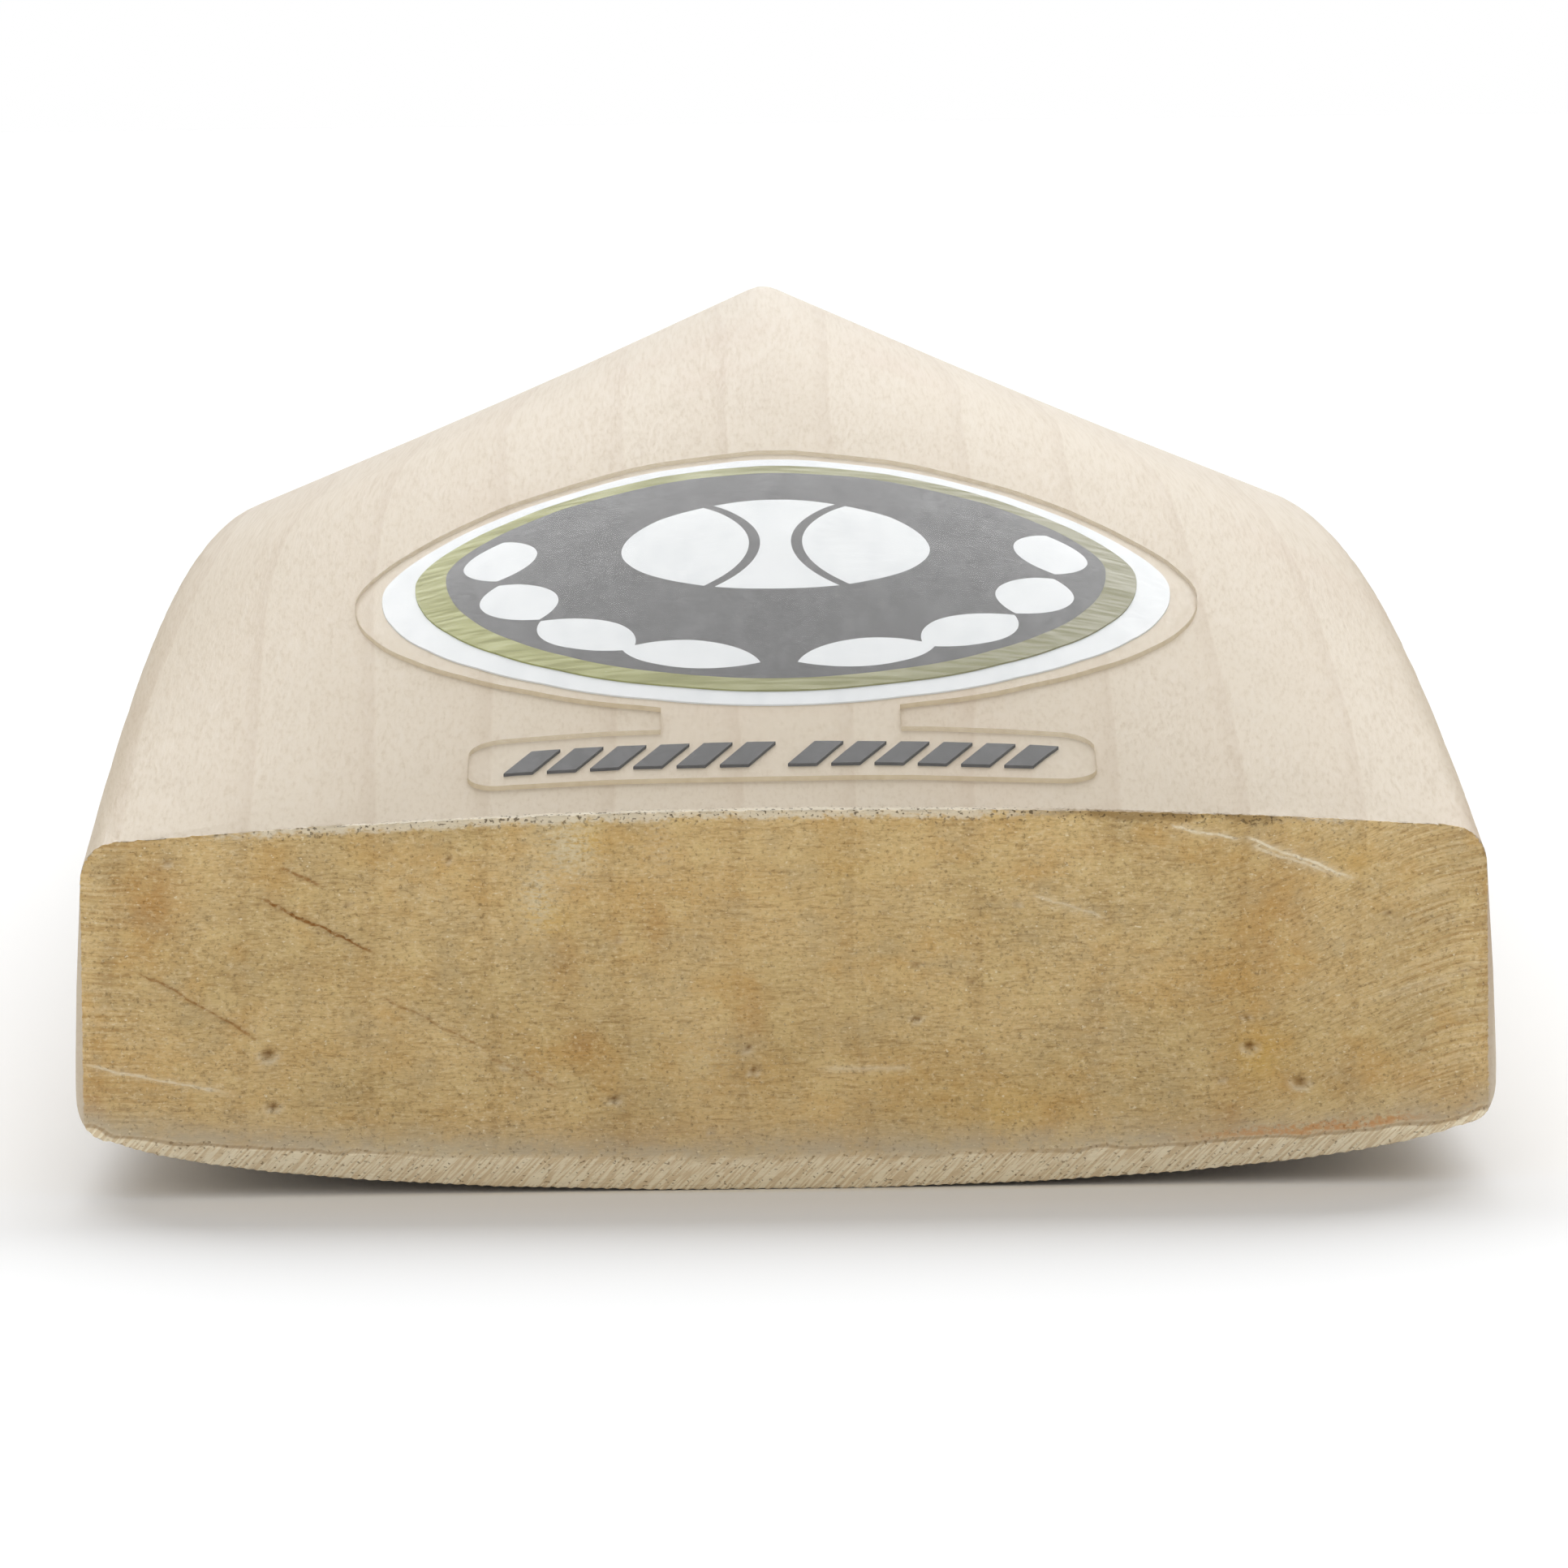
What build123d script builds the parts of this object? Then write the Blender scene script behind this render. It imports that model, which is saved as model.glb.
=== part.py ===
from build123d import *
import os
from math import atan2, cos, degrees, pi, radians, sin

# A short-handle cricket bat, lying on its face with its spine up.
#
# The bat is a willow blade with a V-shaped slot, and a laminated handle whose lower end is a wedge that
# is glued into the slot. The handle is twelve strips of cane in four layers, with three rubber springs
# between the layers. Twine is wound over the round part of the handle, and a rubber grip is rolled over
# the twine. A clear label with a printed badge and a printed strip is stuck to the back of the blade,
# near the toe.
#
# Frame, in millimetres: +X across the blade, +Y from the toe to the handle, +Z from the face to the
# spine. The origin is on the surface that the bat lies on, under the middle of its length. The bat
# touches that surface with the middle of its toe and along the underside of its grip.
# A "station" is a distance from the toe along the bat.

# ---------------------------------------------------------------- overall sizes
OVERALL_LENGTH = 850.0
BLADE_LENGTH = 560.0
BLADE_WIDTH = 108.0

# ---------------------------------------------------------------- blade, side view
TOE_THICKNESS = 29.0
SWELL_STATION = 210.0       # where the spine is highest
RISE_POWER = 2.15           # more makes the spine rise faster behind the toe
FALL_POWER = 2.6            # more makes it drop sooner behind the swell
SWELL_THICKNESS = 58.2      # from the face to the top of the spine
BOW = 5.6                   # how far the middle of the face is hollowed behind the toe and the shoulder
BOW_STATION = 300.0

# ---------------------------------------------------------------- blade, cross-section
FACE_CAMBER = 4.4           # how far the face falls away from its middle to its sides
NECK_CAMBER = 1.0
FACE_FLATNESS = 0.75        # more makes the camber flatter in the middle, and steeper at the sides
FACE_CORNER = 3.0           # rounding between the face and a side
FOOT_RISE = 1.3             # how high that rounding reaches up the side, as a share of itself
TOE_EDGE_HEIGHT = 26.8      # from the middle of the face to the top corner of a side
SWELL_EDGE_HEIGHT = 35.2
SHOULDER_EDGE_HEIGHT = 21.0
NECK_EDGE_DROP = 6.0        # from the spine to the top corner of a side, at the neck
TOE_DRAFT = 0.7             # how far a side leans in at its top, at the toe
SWELL_DRAFT = 0.2
BACK_CORNER = 3.2           # rounding between a side and the back
RIDGE_ROUND = 1.4           # half width of the rounding along the top of the spine
ARCH_END = 60.0             # from the toe to here the back is an arch
SWELL_ROOF = 1.06           # 0 is an arched back, 1 a straight roof, more is hollow

# ---------------------------------------------------------------- blade, ends
TOE_CORNER = 3.0            # rounding of the toe's corners, seen from above
TOE_BULGE = 1.0             # how far the middle of the toe stands out
TOE_BEVEL = 2.4             # bevel between the toe and the face
BEVEL_OVERREACH = 0.15      # how far the tool that cuts it goes past the sides, as a share of the width
SHOULDER_LENGTH = 70.0      # from full width to the neck
SHOULDER_POWER = 1.4        # more makes the shoulders squarer
NECK_RIM = 2.2              # willow left on each side of the handle at the neck
NECK_CORNER = 11.0          # rounding of all four corners at the neck

# ---------------------------------------------------------------- handle
HANDLE_TOP_RADIUS = 15.9    # bare cane at the top of the handle
NECK_HALF_WIDTH = 16.6      # bare cane at the neck
NECK_HALF_DEPTH = 17.2
PLAIN_TOP_LENGTH = 40.0     # the part of the handle, below its top, that doesn't taper
SPLICE_LENGTH = 195.0       # the wedge inside the blade
SPLICE_TIP_HALF_WIDTH = 3.0
STRIP_WIDTH = 11.2          # of the middle strip of cane in each layer
STRIP_DEPTH = 6.8           # of the two inner layers
SPRING_THICKNESS = 1.6

# ---------------------------------------------------------------- binding and grip
TWINE_THICKNESS = 0.9
BINDING_GAP = 2.5           # bare cane between the blade and the first turn
GRIP_THICKNESS = 1.7
GRIP_GAP = 13.0             # from the blade to the lower end of the grip
GRIP_BEAD = 0.8             # how far the bead at the lower end stands proud, except underneath
BEAD_WIDTH = 5.0

# ---------------------------------------------------------------- label
GROUND_THICKNESS = 0.12     # the white print
COLOUR_THICKNESS = 0.12     # the coloured prints on it
FILM_THICKNESS = 0.12       # the clear film over the prints
BADGE_WIDTH = 64.0
BADGE_TOE_GAP = 20.3        # from the toe to the badge
BADGE_LOWER_LENGTH = 41.0   # from the badge's toe end to its widest place
BADGE_UPPER_LENGTH = 24.0   # from its widest place to its other end
FILM_MARGIN = 2.2
BORDER = 2.7                # white edge of the badge
BAND = 2.5                  # gold band
BALL_RADIUS = 12.5
BALL_DROP = 2.5             # from the badge's widest place towards the toe
SEAM_RADIUS = 19.0          # the ball's two seam lines are arcs
SEAM_GAP = 3.4              # between the two seam lines, at the middle
SEAM_LINE = 0.9
LEAF_LENGTH = 12.0
LEAF_WIDTH = 6.0
LEAVES_PER_SIDE = 4
LEAF_INSET = 1.4            # from the gold band to the leaves
LEAF_FIRST_ANGLE = -72.0    # of the lowest leaf, round the badge's widest place
LEAF_LAST_ANGLE = 2.0
STRIP_LABEL_WIDTH = 48.0
STRIP_LABEL_HEIGHT = 9.6
STRIP_LABEL_TOE_GAP = 5.6
FILM_NECK_WIDTH = 18.5      # of the film between badge and strip
FILM_CORNER = 2.6
DASH_WIDTH = 2.2
DASH_HEIGHT = 4.2
DASH_PITCH = 3.3
DASH_LEAN = 0.5
DASHES_PER_GROUP = 6
DASH_GROUP_GAP = 3.0

# ---------------------------------------------------------------- values that follow
HALF_WIDTH = BLADE_WIDTH / 2
SLEEVE = TWINE_THICKNESS + GRIP_THICKNESS                  # what is round the cane under a hand
NECK_AXIS_HEIGHT = NECK_HALF_DEPTH + SLEEVE                # the underside of the grip is level
TOP_AXIS_HEIGHT = HANDLE_TOP_RADIUS + SLEEVE
NECK_RIDGE_HEIGHT = NECK_AXIS_HEIGHT + NECK_HALF_DEPTH     # the cane is flush with the spine there
SHOULDER_START = BLADE_LENGTH - SHOULDER_LENGTH
SPLICE_TIP = BLADE_LENGTH - SPLICE_LENGTH
TAPER_END = OVERALL_LENGTH - PLAIN_TOP_LENGTH
SECTIONS_TO_SWELL = 7
SECTIONS_TO_SHOULDER = 6
SECTIONS_IN_SHOULDER = 6
TALL = 3 * SWELL_THICKNESS                                 # more than the height of anything


def y_at(station):
    """The Y of a distance from the toe."""
    return station - OVERALL_LENGTH / 2


def smooth(share):
    """Goes from 0 to 1, flat at both ends, and stays there."""
    share = min(1.0, max(0.0, share))
    return (1 - cos(pi * share)) / 2


def rise(share):
    """Goes from 0 to 1 and flattens out as it gets there."""
    return 1 - (1 - share) ** RISE_POWER


def fall(share):
    """Goes from 1 to 0, flat at both ends, and drops early."""
    return (1 - share * share) ** FALL_POWER


# ---------------------------------------------------------------- the blade's lines, by station
def face_height(station):
    """The middle of the face, above the surface that the bat lies on."""
    if station <= BOW_STATION:
        return BOW * smooth(station / BOW_STATION)
    share = (station - BOW_STATION) / (BLADE_LENGTH - BOW_STATION)
    return BOW + (SLEEVE - BOW) * smooth(share)


def between_toe_and_neck(station, at_toe, at_swell, at_neck):
    """A height that rises from the toe to the swell and falls from there to the neck."""
    if station <= SWELL_STATION:
        return at_toe + (at_swell - at_toe) * rise(station / SWELL_STATION)
    share = (station - SWELL_STATION) / (BLADE_LENGTH - SWELL_STATION)
    return at_neck + (at_swell - at_neck) * fall(share)


def ridge_height(station):
    """The top of the spine."""
    at_swell = face_height(SWELL_STATION) + SWELL_THICKNESS
    return between_toe_and_neck(station, TOE_THICKNESS, at_swell, NECK_RIDGE_HEIGHT)


def edge_drop(station):
    """From the spine down to the top corner of a side, where the blade has its full width."""
    at_swell = face_height(SWELL_STATION) + SWELL_EDGE_HEIGHT
    at_shoulder = SLEEVE + SHOULDER_EDGE_HEIGHT
    return ridge_height(station) - between_toe_and_neck(station, TOE_EDGE_HEIGHT, at_swell, at_shoulder)


def neck_share(station):
    """0 on the blade, and over the shoulders up to 1 at the neck."""
    share = max(0.0, station - SHOULDER_START) / SHOULDER_LENGTH
    return smooth(share ** SHOULDER_POWER)


def towards_neck(station, on_blade, at_neck):
    """A size that the blade has up to its shoulders, and another at the neck."""
    return on_blade + (at_neck - on_blade) * neck_share(station)


def roof(station):
    """How far the back is a straight roof and not an arch."""
    share = smooth((station - ARCH_END) / (SWELL_STATION - ARCH_END))
    return towards_neck(station, SWELL_ROOF * share, 0.0)


# ---------------------------------------------------------------- the blade
def part_of_curve(start, control, end, low, high):
    """The stretch from low to high of a quadratic Bezier curve, as three points of its own."""
    def blend(a, b):
        return tuple(
            (1 - a) * (1 - b) * p + ((1 - a) * b + a * (1 - b)) * q + a * b * r
            for p, q, r in zip(start, control, end)
        )
    return [blend(low, low), blend(low, high), blend(high, high)]


def half_section(station):
    """The right half of a cross-section, up from the face: curves that join, as lists of (x, z) points."""
    width = towards_neck(station, HALF_WIDTH, NECK_HALF_WIDTH + NECK_RIM)
    face_corner = towards_neck(station, FACE_CORNER, NECK_CORNER)
    back_corner = towards_neck(station, BACK_CORNER, NECK_CORNER)
    draft = TOE_DRAFT + (SWELL_DRAFT - TOE_DRAFT) * smooth(station / SWELL_STATION)
    draft = towards_neck(station, draft, 0.0)
    camber = towards_neck(station, FACE_CAMBER, NECK_CAMBER)
    bottom = face_height(station)
    top = ridge_height(station)
    corner = (width - draft, top - towards_neck(station, edge_drop(station), NECK_EDGE_DROP))

    inside = (width - face_corner, bottom + camber)
    foot = (width, inside[1] + FOOT_RISE * face_corner)
    face_curve = [inside, (width, inside[1] + camber * face_corner / inside[0]), foot]
    side_top = (corner[0], corner[1] - back_corner)
    middle = (width - draft / 4, (foot[1] + side_top[1]) / 2)

    ridge_control = (corner[0] / 2, top - roof(station) * (top - corner[1]) / 2)
    ridge_share = RIDGE_ROUND / corner[0]
    back = part_of_curve((0, top), ridge_control, corner, ridge_share, 1 - back_corner / corner[0])
    slope = (back[1][1] - back[0][1]) / (back[1][0] - back[0][0])
    peak = (0, back[0][1] - slope * back[0][0])
    return [face_curve, [foot, middle, side_top], [side_top, corner, back[2]], back[::-1], [back[0], peak]]


def blade_section(station):
    """The blade's cross-section at a station, as a closed wire."""
    y = y_at(station)
    *right, (ridge_start, peak) = half_section(station)
    inside, foot = right[0][0]
    flat = (4 * face_height(station) - foot) / 3       # gives the curve's middle the face's height

    def mirrored(points):
        return [(-x, z) for x, z in reversed(points)]

    controls = FACE_FLATNESS * inside
    face = [(-inside, foot), (-controls, flat), (controls, flat), (inside, foot)]
    ridge = [ridge_start, peak, (-ridge_start[0], ridge_start[1])]
    curves = [face, *right, ridge, *[mirrored(curve) for curve in reversed(right)]]
    return Wire([Edge.make_bezier(*[(x, y, z) for x, z in curve]) for curve in curves])


def blade_stations():
    """Where the cross-sections are, closest together over the shoulders."""
    swell = SWELL_STATION
    toe_side = [swell * i / SECTIONS_TO_SWELL for i in range(SECTIONS_TO_SWELL)]
    step = (SHOULDER_START - swell) / SECTIONS_TO_SHOULDER
    body = [swell + step * i for i in range(SECTIONS_TO_SHOULDER)]
    step = SHOULDER_LENGTH / SECTIONS_IN_SHOULDER
    shoulder = [SHOULDER_START + step * i for i in range(SECTIONS_IN_SHOULDER + 1)]
    return toe_side + body + shoulder


def toe_outline():
    """Everything over the blade's plan, with its rounded toe, to trim the blank with."""
    toe = y_at(0)
    front = toe + TOE_BULGE
    back = y_at(OVERALL_LENGTH)
    inside = HALF_WIDTH - TOE_CORNER
    outside = HALF_WIDTH + 1
    with BuildSketch() as plan:
        with BuildLine():
            ThreePointArc((-inside, front), (0, toe), (inside, front))
            RadiusArc((inside, front), (HALF_WIDTH, front + TOE_CORNER), -TOE_CORNER)
            Polyline((HALF_WIDTH, front + TOE_CORNER), (outside, front + 3 * TOE_CORNER), (outside, back),
                     (-outside, back), (-outside, front + 3 * TOE_CORNER), (-HALF_WIDTH, front + TOE_CORNER))
            RadiusArc((-HALF_WIDTH, front + TOE_CORNER), (-inside, front), -TOE_CORNER)
        make_face()
    return extrude(plan.sketch, amount=TALL, both=True)


def toe_bevel():
    """What is taken off along the edge between the toe and the face, following the face's camber."""
    inside, foot = half_section(0)[0][0]
    start = y_at(0) - TOE_BEVEL
    high = 2 * TOE_BEVEL
    reach = HALF_WIDTH / inside + BEVEL_OVERREACH
    ends = [(-reach * inside, reach * foot + high), (reach * inside, reach * foot + high)]
    controls = FACE_FLATNESS * inside
    flat = high - foot / 3
    points = [ends[0], (-controls, flat), (controls, flat), ends[1]]
    curve = Edge.make_bezier(*[(x, start, z) for x, z in points])
    corners = [(ends[1][0], start, ends[1][1]), (ends[1][0], start, -TALL),
               (ends[0][0], start, -TALL), (ends[0][0], start, ends[0][1])]
    profile = Face(Wire([curve] + Wire.make_polygon(corners, close=False).edges()))
    return extrude(profile, amount=6 * TOE_BEVEL, dir=(0, 1, -1))


def splice_prism():
    """The V that is cut through the blade, and that the handle's wedge fills."""
    with BuildSketch() as plan:
        with BuildLine():
            Polyline((-SPLICE_TIP_HALF_WIDTH, y_at(SPLICE_TIP)), (SPLICE_TIP_HALF_WIDTH, y_at(SPLICE_TIP)),
                     (NECK_HALF_WIDTH, y_at(BLADE_LENGTH)), (-NECK_HALF_WIDTH, y_at(BLADE_LENGTH)),
                     close=True)
        make_face()
    return extrude(plan.sketch, amount=TALL, both=True)


# ---------------------------------------------------------------- the round part of the handle
def round_form(growth):
    """The handle above the neck, grown all round by the thickness of what is wound or rolled on it."""
    def plane(station, height):
        return Plane(origin=(0, y_at(station), height), x_dir=(1, 0, 0), z_dir=(0, 1, 0))

    neck = Wire.make_ellipse(NECK_HALF_WIDTH + growth, NECK_HALF_DEPTH + growth,
                             plane(BLADE_LENGTH, NECK_AXIS_HEIGHT))
    top_radius = HANDLE_TOP_RADIUS + growth
    taper_end = Wire.make_circle(top_radius, plane(TAPER_END, TOP_AXIS_HEIGHT))
    taper = Solid.make_loft([neck, taper_end], ruled=True)
    plain = Solid.make_cylinder(top_radius, PLAIN_TOP_LENGTH, plane(TAPER_END, TOP_AXIS_HEIGHT))
    return taper + plain


def between(start, end):
    """A block that holds everything between two stations."""
    middle = y_at((start + end) / 2)
    return Pos(0, middle, 0) * Box(2 * TALL, end - start, 2 * TALL)




# ---------------------------------------------------------------- the canes and springs of the handle
def layer_levels():
    """The heights, from the handle's axis, of the faces of the four layers, from the face side up."""
    near = SPRING_THICKNESS / 2
    far = near + STRIP_DEPTH
    outer = far + SPRING_THICKNESS
    return [(-TALL, -outer), (-far, -near), (near, far), (outer, TALL)]


def block(x_range, z_range):
    """A block as long as the bat that spans x_range, and z_range from the handle's axis."""
    width = x_range[1] - x_range[0]
    depth = z_range[1] - z_range[0]
    middle = ((x_range[0] + x_range[1]) / 2, 0, TOP_AXIS_HEIGHT + (z_range[0] + z_range[1]) / 2)
    return Pos(*middle) * Box(width, 2 * OVERALL_LENGTH, depth)


def cane_strips(handle):
    """The twelve strips, by name."""
    layers = dict(zip(("face", "lower", "upper", "back"), layer_levels()))
    half = STRIP_WIDTH / 2
    columns = {"left": (-TALL, -half), "middle": (-half, half), "right": (half, TALL)}
    return {
        f"cane_{layer}_{column}": handle & block(x_range, z_range)
        for layer, z_range in layers.items()
        for column, x_range in columns.items()
    }


def springs(handle):
    """The three rubber springs between the layers, by name."""
    levels = layer_levels()
    gaps = zip(levels, levels[1:])
    names = ("spring_face", "spring_middle", "spring_back")
    return {
        name: handle & block((-TALL, TALL), (below[1], above[0]))
        for name, (below, above) in zip(names, gaps)
    }


# ---------------------------------------------------------------- what goes round the handle
def binding():
    """The twine, as a sleeve on the cane."""
    sleeve = round_form(TWINE_THICKNESS) - round_form(0)
    return sleeve & between(BLADE_LENGTH + BINDING_GAP, OVERALL_LENGTH)


def grip():
    """The rubber sleeve on the twine, with a bead round its lower end that is flattened underneath."""
    start = BLADE_LENGTH + GRIP_GAP
    hollow = round_form(TWINE_THICKNESS)
    sleeve = (round_form(SLEEVE) - hollow) & between(start, OVERALL_LENGTH)
    bead = (round_form(SLEEVE + GRIP_BEAD) - hollow) & between(start, start + BEAD_WIDTH)
    above_surface = Pos(0, 0, TALL) * Box(2 * TALL, 2 * OVERALL_LENGTH, 2 * TALL)
    return sleeve + (bead & above_surface)


# ---------------------------------------------------------------- label, drawn from above
def egg(inset):
    """The badge's outline, two half ellipses that meet at its widest place, drawn in by an inset."""
    half = BADGE_WIDTH / 2 - inset
    widest = (0, BADGE_LOWER_LENGTH)
    with BuildSketch() as sketch:
        with BuildLine():
            EllipticalCenterArc(widest, half, BADGE_UPPER_LENGTH - inset, 0, arc_size=180)
            EllipticalCenterArc(widest, half, BADGE_LOWER_LENGTH - inset, 180, arc_size=180)
        make_face()
    return Pos(0, y_at(BADGE_TOE_GAP)) * sketch.sketch


def ball():
    """A ball with two seam lines, which curve away from each other."""
    seam_centre = SEAM_RADIUS + SEAM_GAP / 2
    line = Circle(SEAM_RADIUS + SEAM_LINE / 2) - Circle(SEAM_RADIUS - SEAM_LINE / 2)
    disc = Circle(BALL_RADIUS) - Pos(seam_centre, 0) * line - Pos(-seam_centre, 0) * line
    return Pos(0, y_at(BADGE_TOE_GAP + BADGE_LOWER_LENGTH - BALL_DROP)) * disc


def leaf():
    """A pointed leaf along X, of two arcs."""
    tip = LEAF_LENGTH / 2
    side = LEAF_WIDTH / 2
    with BuildSketch() as sketch:
        with BuildLine():
            ThreePointArc((-tip, 0), (0, side), (tip, 0))
            ThreePointArc((tip, 0), (0, -side), (-tip, 0))
        make_face()
    return sketch.sketch


def leaves():
    """Leaves on both sides of the ball, from below it upwards, along the badge's outline."""
    widest = y_at(BADGE_TOE_GAP + BADGE_LOWER_LENGTH)
    across = BADGE_WIDTH / 2 - BORDER - BAND - LEAF_WIDTH / 2 - LEAF_INSET
    along = BADGE_LOWER_LENGTH - BORDER - BAND - LEAF_WIDTH / 2 - LEAF_INSET
    step = (LEAF_LAST_ANGLE - LEAF_FIRST_ANGLE) / (LEAVES_PER_SIDE - 1)
    placed = []
    for side in (-1, 1):
        for i in range(LEAVES_PER_SIDE):
            angle = radians(LEAF_FIRST_ANGLE + step * i)
            turn = degrees(atan2(along * cos(angle), -across * sin(angle)))
            place = Pos(side * across * cos(angle), widest + along * sin(angle))
            placed.append(place * Rot(0, 0, side * turn) * leaf())
    return placed


def strip_dashes():
    """Two groups of slanted dashes, side by side."""
    lean = DASH_LEAN * DASH_HEIGHT / 2
    half = DASH_WIDTH / 2
    high = DASH_HEIGHT / 2
    with BuildSketch() as dash:
        with BuildLine():
            Polyline((-half - lean, -high), (half - lean, -high), (half + lean, high), (-half + lean, high),
                     close=True)
        make_face()
    middle = y_at(STRIP_LABEL_TOE_GAP + STRIP_LABEL_HEIGHT / 2)
    first = (DASH_GROUP_GAP + DASH_WIDTH) / 2
    places = [first + DASH_PITCH * i for i in range(DASHES_PER_GROUP)]
    return [Pos(side * x, middle) * dash.sketch for side in (-1, 1) for x in places]


def film_outline():
    """The clear film: the badge with a margin, the strip, and a neck between them."""
    middle = y_at(STRIP_LABEL_TOE_GAP + STRIP_LABEL_HEIGHT / 2)
    strip = RectangleRounded(STRIP_LABEL_WIDTH, STRIP_LABEL_HEIGHT, FILM_CORNER)
    neck_length = BADGE_TOE_GAP + BADGE_LOWER_LENGTH - STRIP_LABEL_TOE_GAP - STRIP_LABEL_HEIGHT / 2
    neck = Pos(0, middle + neck_length / 2) * Rectangle(FILM_NECK_WIDTH, neck_length)
    return egg(-FILM_MARGIN) + Pos(0, middle) * strip + neck


def sheet(outline, low, high, blade):
    """What lies over an outline, between two heights above the blade's back."""
    return (extrude(outline, amount=TALL) & (Pos(0, 0, high) * blade)) - Pos(0, 0, low) * blade


def label(blade):
    """The prints and the film over them, by name."""
    coloured = GROUND_THICKNESS + COLOUR_THICKNESS
    ground = sheet(egg(0), 0, GROUND_THICKNESS, blade)
    colours = sheet(egg(BORDER), GROUND_THICKNESS, coloured, blade)
    inside_band = extrude(egg(BORDER + BAND), amount=TALL)
    shapes = [extrude(shape, amount=TALL) for shape in (*ball().faces(), *leaves())]
    field = colours & inside_band
    emblem = Part() + [field & shape for shape in shapes]
    for shape in shapes:
        field -= shape
    dashes = Part() + [sheet(dash, 0, COLOUR_THICKNESS, blade) for dash in strip_dashes()]
    film = sheet(film_outline(), 0, coloured + FILM_THICKNESS, blade) - ground - colours - dashes
    return {
        "label_white_ground": ground,
        "label_gold_band": colours - inside_band,
        "label_dark_field": field,
        "label_white_emblem": emblem,
        "label_strip_dashes": dashes,
        "label_clear_film": film,
    }


# ---------------------------------------------------------------- the whole bat
def bat():
    """Every piece, by name."""
    blank = Solid.make_loft([blade_section(s) for s in blade_stations()])
    shaped = (blank & toe_outline()) - toe_bevel()
    blade = shaped - splice_prism()
    handle = (shaped & splice_prism()) + round_form(0)
    return {
        "blade": blade,
        **cane_strips(handle),
        **springs(handle),
        "twine_binding": binding(),
        "rubber_grip": grip(),
        **label(blade),
    }


os.makedirs("parts", exist_ok=True)
for name, solid in bat().items():
    solid.label = name
    export_step(solid, f"parts/{name}.step")
    print(f"{name}: {len(solid.solids())} solid(s), {solid.volume:.2f} mm3")
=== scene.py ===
# %% [markdown]
# # A cricket bat, lying on its face
#
# The bat arrives as a finished CAD model: a willow blade, a handle of twelve cane strips and three rubber
# springs, twine, a rubber grip, and a clear label with prints under it. This lesson dresses that model.
# Some pieces keep their CAD shape and only get a finish. Others, such as the blade with its worn toe, the
# wound twine and the ribbed grip, are made again as meshes with more detail, in the same place.

import math

import bmesh
import bpy
import numpy as np
from mathutils import Matrix, Vector, noise
from mathutils.bvhtree import BVHTree


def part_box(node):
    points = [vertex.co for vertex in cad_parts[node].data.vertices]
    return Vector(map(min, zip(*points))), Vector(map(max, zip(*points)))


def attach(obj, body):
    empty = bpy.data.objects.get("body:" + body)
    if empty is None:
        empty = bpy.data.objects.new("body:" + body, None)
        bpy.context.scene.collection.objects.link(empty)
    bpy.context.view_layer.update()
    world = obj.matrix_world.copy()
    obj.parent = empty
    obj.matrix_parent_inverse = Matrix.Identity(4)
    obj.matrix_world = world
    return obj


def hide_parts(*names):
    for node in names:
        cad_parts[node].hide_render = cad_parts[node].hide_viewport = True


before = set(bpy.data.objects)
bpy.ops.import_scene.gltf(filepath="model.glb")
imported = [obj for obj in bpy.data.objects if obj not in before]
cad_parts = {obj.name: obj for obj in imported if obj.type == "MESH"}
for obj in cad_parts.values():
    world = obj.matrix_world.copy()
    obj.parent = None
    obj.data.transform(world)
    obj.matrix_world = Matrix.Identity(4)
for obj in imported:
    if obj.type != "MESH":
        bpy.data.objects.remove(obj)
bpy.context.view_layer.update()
MM = 0.001
TOE_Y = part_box("blade")[0].y

# %% [markdown]
# ## Sums on a surface
#
# A procedural finish is a long sum: a noise, times a number, plus a mask. Blender does such sums with
# Math nodes, and a hundred of them wired by hand are hard to read. A small class can stand for a value
# that varies over the surface. Python then calls its methods for `+` and `*`, and each call adds one Math
# node. The reflected forms, such as `__rsub__`, let a plain number stand on the left, as in `1 - mask`.


# %% A value that varies over a surface
def plug(socket, value):
    """Gives a socket a link if the value varies, and a plain number or colour if it doesn't."""
    if isinstance(value, Field):
        socket.id_data.links.new(value.socket, socket)
    else:
        socket.default_value = value


class Field:
    """An output socket that Python can add, subtract, multiply and divide."""

    def __init__(self, socket):
        self.socket = socket

    def _math(self, operation, *values):
        node = self.socket.id_data.nodes.new("ShaderNodeMath")
        node.operation = operation
        for socket, value in zip(node.inputs, values):
            plug(socket, value)
        return Field(node.outputs[0])

    def __add__(self, other):
        return self._math("ADD", self, other)

    def __sub__(self, other):
        return self._math("SUBTRACT", self, other)

    def __mul__(self, other):
        return self._math("MULTIPLY", self, other)

    def __truediv__(self, other):
        return self._math("DIVIDE", self, other)

    def __radd__(self, other):
        return self._math("ADD", other, self)

    def __rsub__(self, other):
        return self._math("SUBTRACT", other, self)

    def __rmul__(self, other):
        return self._math("MULTIPLY", other, self)

    def __abs__(self):
        return self._math("ABSOLUTE", self)

    def fraction(self):
        """What is left after the decimal point."""
        return self._math("FRACT", self)


# %% [markdown]
# ## One method for every other node
#
# Noise, Mix, Map Range and the rest differ only in their type, their settings and their sockets. One
# method makes them all: it sets the settings first, because they can change which sockets there are, and
# then fills the sockets. The world has nodes too, so that method has a class of its own. A finish adds
# short names for the nodes that wood needs most.


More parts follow.
